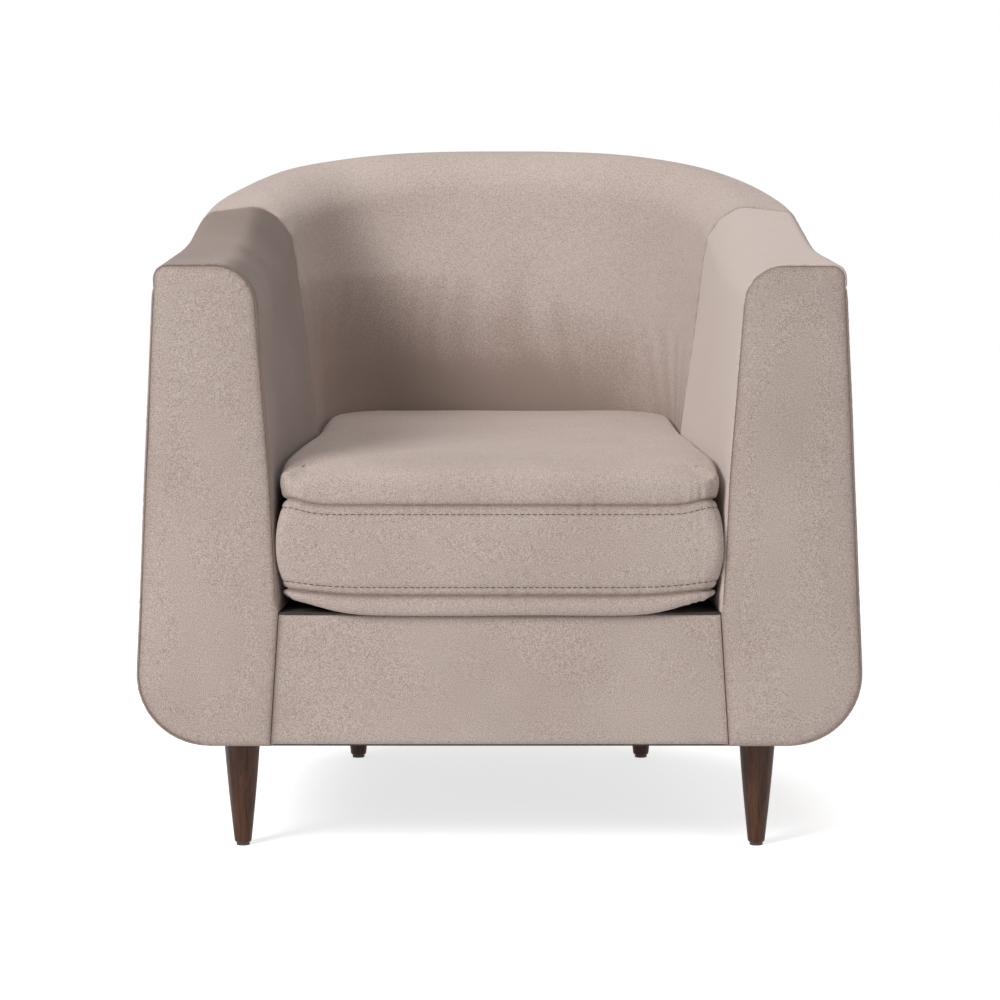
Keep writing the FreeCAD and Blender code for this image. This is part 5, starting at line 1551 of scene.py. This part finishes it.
class ARMCHAIR_OT_cushion(Sizes, Operator):
    """Loose cushion with its seams, gathers, topstitching and zip"""

    bl_idname = "armchair.cushion"
    bl_label = "Cushion"

    PLAN_STEP, ROW_STEP = 2.7 * MM, 3.3 * MM
    SETTLING = 90
    NAP = (0.0, -0.12, -0.12)
    STITCH_SINK, STITCH_WIDTH, STITCH_SHADE = 0.9 * MM, 1.5 * MM, 0.25
    PUCKER_SHARE, PUCKER_START = 2.2, 1.6 * MM
    LOW_PUCKERS, HIGH_PUCKERS = 0.013, 0.010
    SOFT_SHARE, SOFT_WAVE, SOFT_START = 0.9, 0.15, 20 * MM
    UNDER_SHARE = 0.5
    FRONT_CLEAR, BASE_SINK = 2 * MM, 0.3 * MM
    GATHER_SPREAD, GATHER_START, GATHER_WAVE = 52 * MM, 2.5 * MM, 0.013
    BOXING_GATHER, PANEL_GATHER, REAR_SHARE = 1.4 * MM, 3.4 * MM, 0.7
    THREAD_LIFT, THREAD_HEIGHT = 0.1 * MM, 0.8
    # The zip's tape from its low to its high edge: shares of its width, and millimetres that it stands out.
    TAPE_SHARES = (0.0, 0.08, 0.3, 0.42, 0.5, 0.58, 0.7, 0.92, 1.0)
    TAPE_SWELL = (0.0, 0.3, 0.45, 0.6, 0.7, 0.6, 0.45, 0.3, 0.0)
    TAPE_THICK, TAPE_COLUMNS = 0.5 * MM, 126
    TEETH_OUT, TEETH_END, TEETH_SPOTS = 1.25 * MM, 1 * MM, 40
    TOOTH_WIDTH, TOOTH_SIZE = 4.2 * MM, 1.3 * MM
    BED_GAP, BED_END, BED_SIDE = 0.1 * MM, 1 * MM, 1.2 * MM
    BED_END_FADE, BED_SIDE_FADE = 5 * MM, 4 * MM

    def execute(self, context):
        shape = CushionShape(self.cushion, self.PLAN_STEP)
        points, away = shape.build(self.ROW_STEP)
        piece = new_piece("seat_cushion_cover", shape.warp(points), shape.faces, finish("velvet"))
        self.settle_crown(piece, shape)
        self.sew(piece, shape, away)
        belongs(piece, "seat_cushion", "velvet", "cushion_top_panel", "cushion_bottom_panel",
                "cushion_boxing", "cushion_zip_boxing", "cushion_foam_core")
        self.topstitch(piece, shape)
        self.zip()
        return {"FINISHED"}

    def settle_crown(self, piece, shape):
        """Even out the height of the top, so that no ridge runs in from its corners."""
        mesh = bmesh.new()
        mesh.from_mesh(piece.data)
        mesh.verts.ensure_lookup_table()
        inner = [mesh.verts[index] for index in shape.marks["inner"][1]]
        for _ in range(self.SETTLING):
            bmesh.ops.smooth_vert(mesh, verts=inner, factor=0.5, use_axis_x=False, use_axis_y=False,
                                  use_axis_z=True)
        mesh.to_mesh(piece.data)
        mesh.free()

    def sew(self, piece, shape, away):
        """Grooves at the seams and stitch rows, puckers between them, and gathers at the corners."""
        look, sizes = self.look, self.cushion
        count = len(piece.data.vertices)
        points = np.empty(count * 3, dtype=np.float32)
        piece.data.vertices.foreach_get("co", points)
        points = points.reshape(-1, 3).astype(float)
        normals = np.array([tuple(item.vector) for item in piece.data.vertex_normals])
        run = nearest(points[:, :2], shape.outline)[1]
        lift = -look.groove * np.exp(-away / look.groove_width)
        tall = sizes.top_seam - sizes.bottom_seam
        boxing = np.zeros(count, dtype=bool)
        boxing[np.concatenate(shape.rows[shape.marks["bottom_seam"]:shape.marks["top_seam"] + 1])] = True
        row = np.exp(-((away - sizes.stitch_row) / self.STITCH_WIDTH) ** 2) * boxing
        lift -= self.STITCH_SINK * row
        rise = np.exp(-away / look.pucker_reach) * (1.0 - np.exp(-away / self.PUCKER_START))
        lower = points[:, 2] < sizes.bottom_seam + tall / 2
        waves = np.where(lower, ripple(run, self.LOW_PUCKERS, 81), ripple(run, self.HIGH_PUCKERS, 82))
        lift += look.pucker * self.PUCKER_SHARE * waves * rise
        lift += self.gathers(points, run, away, boxing)
        soft = unevenness(points, self.SOFT_WAVE, 83) * (1.0 - np.exp(-away / self.SOFT_START))
        lift += look.softness * self.SOFT_SHARE * soft
        under = np.concatenate(shape.rows[:shape.marks["bottom_seam"]] + [shape.marks["inner"][0]])
        lift[under] *= self.UNDER_SHARE
        points += normals * lift[:, None]
        seated = points[:, 1] > FRONT + self.FRONT_CLEAR
        points[seated, 2] = np.maximum(points[seated, 2], sizes.base - self.BASE_SINK)
        self.bed_zip(points)
        piece.data.vertices.foreach_set("co", points.ravel())
        piece.data.update()
        # Painted shade in the seams' grooves and along the sunken stitch rows.
        shade = np.exp(-away / SEAM_SHADE) + self.STITCH_SHADE * row
        keep_values(piece, np.tile(self.NAP, (count, 1)), shade)

    def bed_zip(self, points):
        """Lay the rear of the boxing under the tape of the zip."""
        low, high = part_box("zip_chain")
        sideways = np.maximum(np.abs(points[:, 0]) - high.x - self.BED_END, 0.0) / self.BED_END_FADE
        upward = np.abs(points[:, 2] - (low.z + high.z) / 2) - (high.z - low.z) / 2 - self.BED_SIDE
        bedded = np.exp(-sideways ** 2 - (np.maximum(upward, 0.0) / self.BED_SIDE_FADE) ** 2)
        proud = np.maximum(points[:, 1] - (low.y + self.BED_GAP), 0.0)
        points[:, 1] -= proud * bedded

    def gathers(self, points, run, away, boxing):
        """Radial folds in the panels where their seams turn a corner."""
        sizes = self.cushion
        total = np.zeros(len(points))
        rise = np.exp(-away / sizes.gather_reach) * (1.0 - np.exp(-away / self.GATHER_START))
        for x, y, share, seed in ((sizes.front_half, CUSHION_LOW.y, 1.0, 91),
                                  (sizes.rear_half, CUSHION_REAR, self.REAR_SHARE, 98)):
            for side in (-1, 1):
                spread = np.hypot(points[:, 0] - x * side, points[:, 1] - y)
                near = np.exp(-(spread / self.GATHER_SPREAD) ** 2) * share
                total += near * ripple(run, self.GATHER_WAVE, seed + side) * rise
        return total * np.where(boxing, self.BOXING_GATHER, self.PANEL_GATHER)

    def topstitch(self, piece, shape):
        """Rows of thread on the boxing, a little way from both seams."""
        trim = self.trim
        normals = piece.data.vertex_normals
        lines = []
        for row in shape.marks["stitches"]:
            lines.append([piece.data.vertices[index].co + normals[index].vector * self.THREAD_LIFT
                          for index in row.tolist()])
        values = {"Pitch": trim.stitch + trim.stitch_gap, "Width": trim.stitch_thick / 2,
                  "Height": trim.stitch_thick * self.THREAD_HEIGHT, "Length": trim.stitch / 2}
        stitches = repeated("cushion_topstitching", lines, True, stitch_tree(), values, finish("thread"))
        belongs(stitches, "seat_cushion", "zip_tape")

    def zip(self):
        """Tape and teeth of the zip."""
        low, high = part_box("zip_chain")
        grid = np.empty((self.TAPE_COLUMNS, len(self.TAPE_SHARES), 3))
        grid[..., 0] = np.linspace(low.x, high.x, self.TAPE_COLUMNS)[:, None]
        grid[..., 1] = low.y + self.TAPE_THICK + np.array(self.TAPE_SWELL) * MM
        grid[..., 2] = low.z + (high.z - low.z) * np.array(self.TAPE_SHARES)
        back = grid.copy()
        back[..., 1] = low.y
        tape = grid_shell("zip_tapes", grid, back, finish("zip_tape"))
        belongs(tape, "seat_cushion", "zip_tape", "zip_chain")
        spots = np.linspace(low.x + self.TEETH_END, high.x - self.TEETH_END, self.TEETH_SPOTS)
        line = [(x, low.y + self.TEETH_OUT, (low.z + high.z) / 2) for x in spots]
        values = {"Pitch": self.trim.tooth_pitch, "Width": self.TOOTH_WIDTH, "Height": self.TOOTH_SIZE,
                  "Length": self.TOOTH_SIZE, "Turn": 0.0}
        teeth = repeated("zip_teeth", [line], False, bar_tree(), values, finish("zip_metal"))
        belongs(teeth, "seat_cushion", "zip_metal")


class ARMCHAIR_OT_finishes(Sizes, Operator):
    """Materials of the frame, springs, glides and metal parts"""

    bl_idname = "armchair.finishes"
    bl_label = "Frame finishes"

    def execute(self, context):
        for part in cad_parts.values():
            for place in part.material_slots:
                name = place.material.name.split(".")[0]
                name = "foam" if name == "wadding" else name
                if name in FINISHES or name == "velvet":
                    place.material = finish(name)
        return {"FINISHED"}


class ARMCHAIR_OT_stage(Operator):
    """Floor, lamps, even light from all sides, and the camera"""

    bl_idname = "armchair.stage"
    bl_label = "Stage"
    bl_options = {"REGISTER", "UNDO"}

    # Name, place and width of each lamp, the spot they look at, and the floor's rings, fade and own light.
    LAMPS = (("key", (-2.7, -3.0, 2.85), 1.7), ("fill", (2.4, -3.6, 1.5), 2.4), ("top", (0.0, 0.3, 3.2), 2.4))
    AIM = Vector((0.0, 0.0, 0.42))
    FLOOR_RINGS = (0.0, 0.6, 1.4, 2.4, 3.4)
    FLOOR_FACES = 96
    FLOOR_FADE = (1.1, 3.0)
    FLOOR_LIGHT = 0.2

    def execute(self, context):
        look = context.scene.armchair_stage
        self.world(look)
        self.floor(look)
        for name, place, size in self.LAMPS:
            self.lamp(name, Vector(place), size, getattr(look, f"{name}_power"))
        self.camera(look)
        context.scene.view_settings.view_transform = "Standard"
        return {"FINISHED"}

    @staticmethod
    def world(look):
        """Even light, seen as white behind the chair."""
        world = bpy.data.worlds.new("studio")
        world.use_nodes = True
        tree = world.node_tree
        tree.nodes.clear()
        seen = node(tree, "ShaderNodeBackground", {"Color": (1, 1, 1, 1), "Strength": 1.0}).outputs[0]
        light = node(tree, "ShaderNodeBackground", {"Color": (1, 1, 1, 1), "Strength": look.world}).outputs[0]
        path = node(tree, "ShaderNodeLightPath").outputs
        direct = maths(tree, "MAXIMUM", path["Is Camera Ray"], path["Is Transmission Ray"])
        mixed = node(tree, "ShaderNodeMixShader", {0: direct, 1: light, 2: seen}).outputs[0]
        node(tree, "ShaderNodeOutputWorld", {"Surface": mixed})
        bpy.context.scene.world = world

    def floor(self, look):
        """A pale floor that fades out around the chair."""
        material, tree, shader = new_material("pale_floor")
        set_inputs(shader, Base_Color=solid(look.floor), Roughness=0.75, Specular_IOR_Level=0.15,
                   Emission_Color=solid(look.floor))
        path = node(tree, "ShaderNodeLightPath").outputs
        seen = maths(tree, "MAXIMUM", path["Is Camera Ray"],
                     maths(tree, "MAXIMUM", path["Is Glossy Ray"], path["Is Transmission Ray"]))
        glow = maths(tree, "MULTIPLY", seen, look.floor_glow)
        tree.links.new(maths(tree, "MAXIMUM", glow, self.FLOOR_LIGHT), shader.inputs["Emission Strength"])
        reach = node(tree, "ShaderNodeVectorMath", {0: object_place(tree)}, operation="LENGTH")
        near, far = self.FLOOR_FADE
        values = {"Value": reach.outputs["Value"], 1: near, 2: far, 3: 1.0, 4: 0.0}
        fade = node(tree, "ShaderNodeMapRange", values, interpolation_type="SMOOTHSTEP").outputs[0]
        tree.links.new(fade, shader.inputs["Alpha"])
        points, faces = turned([(ring, 0.0) for ring in self.FLOOR_RINGS], (0.0, 0.0), self.FLOOR_FACES)
        piece = new_piece("studio_floor", points, faces, material)
        if piece.data.polygons[0].normal.z < 0:
            piece.data.flip_normals()

    def lamp(self, name, place, size, power):
        """A square soft lamp that looks at the chair."""
        data = bpy.data.lights.new(name, "AREA")
        data.size = size
        data.energy = power
        lamp = bpy.data.objects.new(name, data)
        lamp.location = place
        lamp.rotation_euler = (self.AIM - place).to_track_quat("-Z", "Y").to_euler()
        bpy.context.scene.collection.objects.link(lamp)

    @staticmethod
    def camera(look):
        """The photograph's view."""
        data = bpy.data.cameras.new("camera")
        data.lens = look.lens
        camera = bpy.data.objects.new("camera", data)
        camera.location = (look.camera_x, FRONT - look.camera_distance, look.camera_height)
        camera.rotation_euler = (QUARTER - look.camera_drop, 0.0, 0.0)
        bpy.context.scene.collection.objects.link(camera)
        bpy.context.scene.camera = camera


OPERATORS = (ARMCHAIR_OT_stage, ARMCHAIR_OT_finishes, ARMCHAIR_OT_inside_walls, ARMCHAIR_OT_outside_walls,
             ARMCHAIR_OT_arm_fronts, ARMCHAIR_OT_base, ARMCHAIR_OT_cushion, ARMCHAIR_OT_legs)


class ARMCHAIR_PT_parts(Panel):
    """Builds the armchair's parts"""

    bl_idname = "ARMCHAIR_PT_parts"
    bl_label = "Armchair"
    bl_space_type = "VIEW_3D"
    bl_region_type = "UI"
    bl_category = "Armchair"

    def draw(self, context):
        for operator in OPERATORS:
            self.layout.operator(operator.bl_idname)
        for name in PROPERTY_GROUPS:
            box = self.layout.box()
            values = getattr(context.scene, name)
            for key in type(values).__annotations__:
                box.prop(values, key)


PROPERTY_GROUPS = {"armchair_wall": WallSizes, "armchair_cushion": CushionSizes, "armchair_cloth": ClothLook,
                   "armchair_trim": TrimSizes, "armchair_stage": StageLook}


def register():
    """Register the sizes, the operators and the panel."""
    for name, group in PROPERTY_GROUPS.items():
        bpy.utils.register_class(group)
        setattr(bpy.types.Scene, name, PointerProperty(type=group))
    for operator in OPERATORS:
        bpy.utils.register_class(operator)
    bpy.utils.register_class(ARMCHAIR_PT_parts)


def unregister():
    """Remove what register added."""
    bpy.utils.unregister_class(ARMCHAIR_PT_parts)
    for operator in reversed(OPERATORS):
        bpy.utils.unregister_class(operator)
    for name, group in PROPERTY_GROUPS.items():
        delattr(bpy.types.Scene, name)
        bpy.utils.unregister_class(group)


def main():
    """Build everything."""
    register()
    bpy.ops.armchair.stage()
    bpy.ops.armchair.finishes()
    bpy.ops.armchair.inside_walls()
    bpy.ops.armchair.outside_walls()
    bpy.ops.armchair.arm_fronts()
    bpy.ops.armchair.base()
    bpy.ops.armchair.cushion()
    bpy.ops.armchair.legs()


if __name__ == "__main__":
    main()
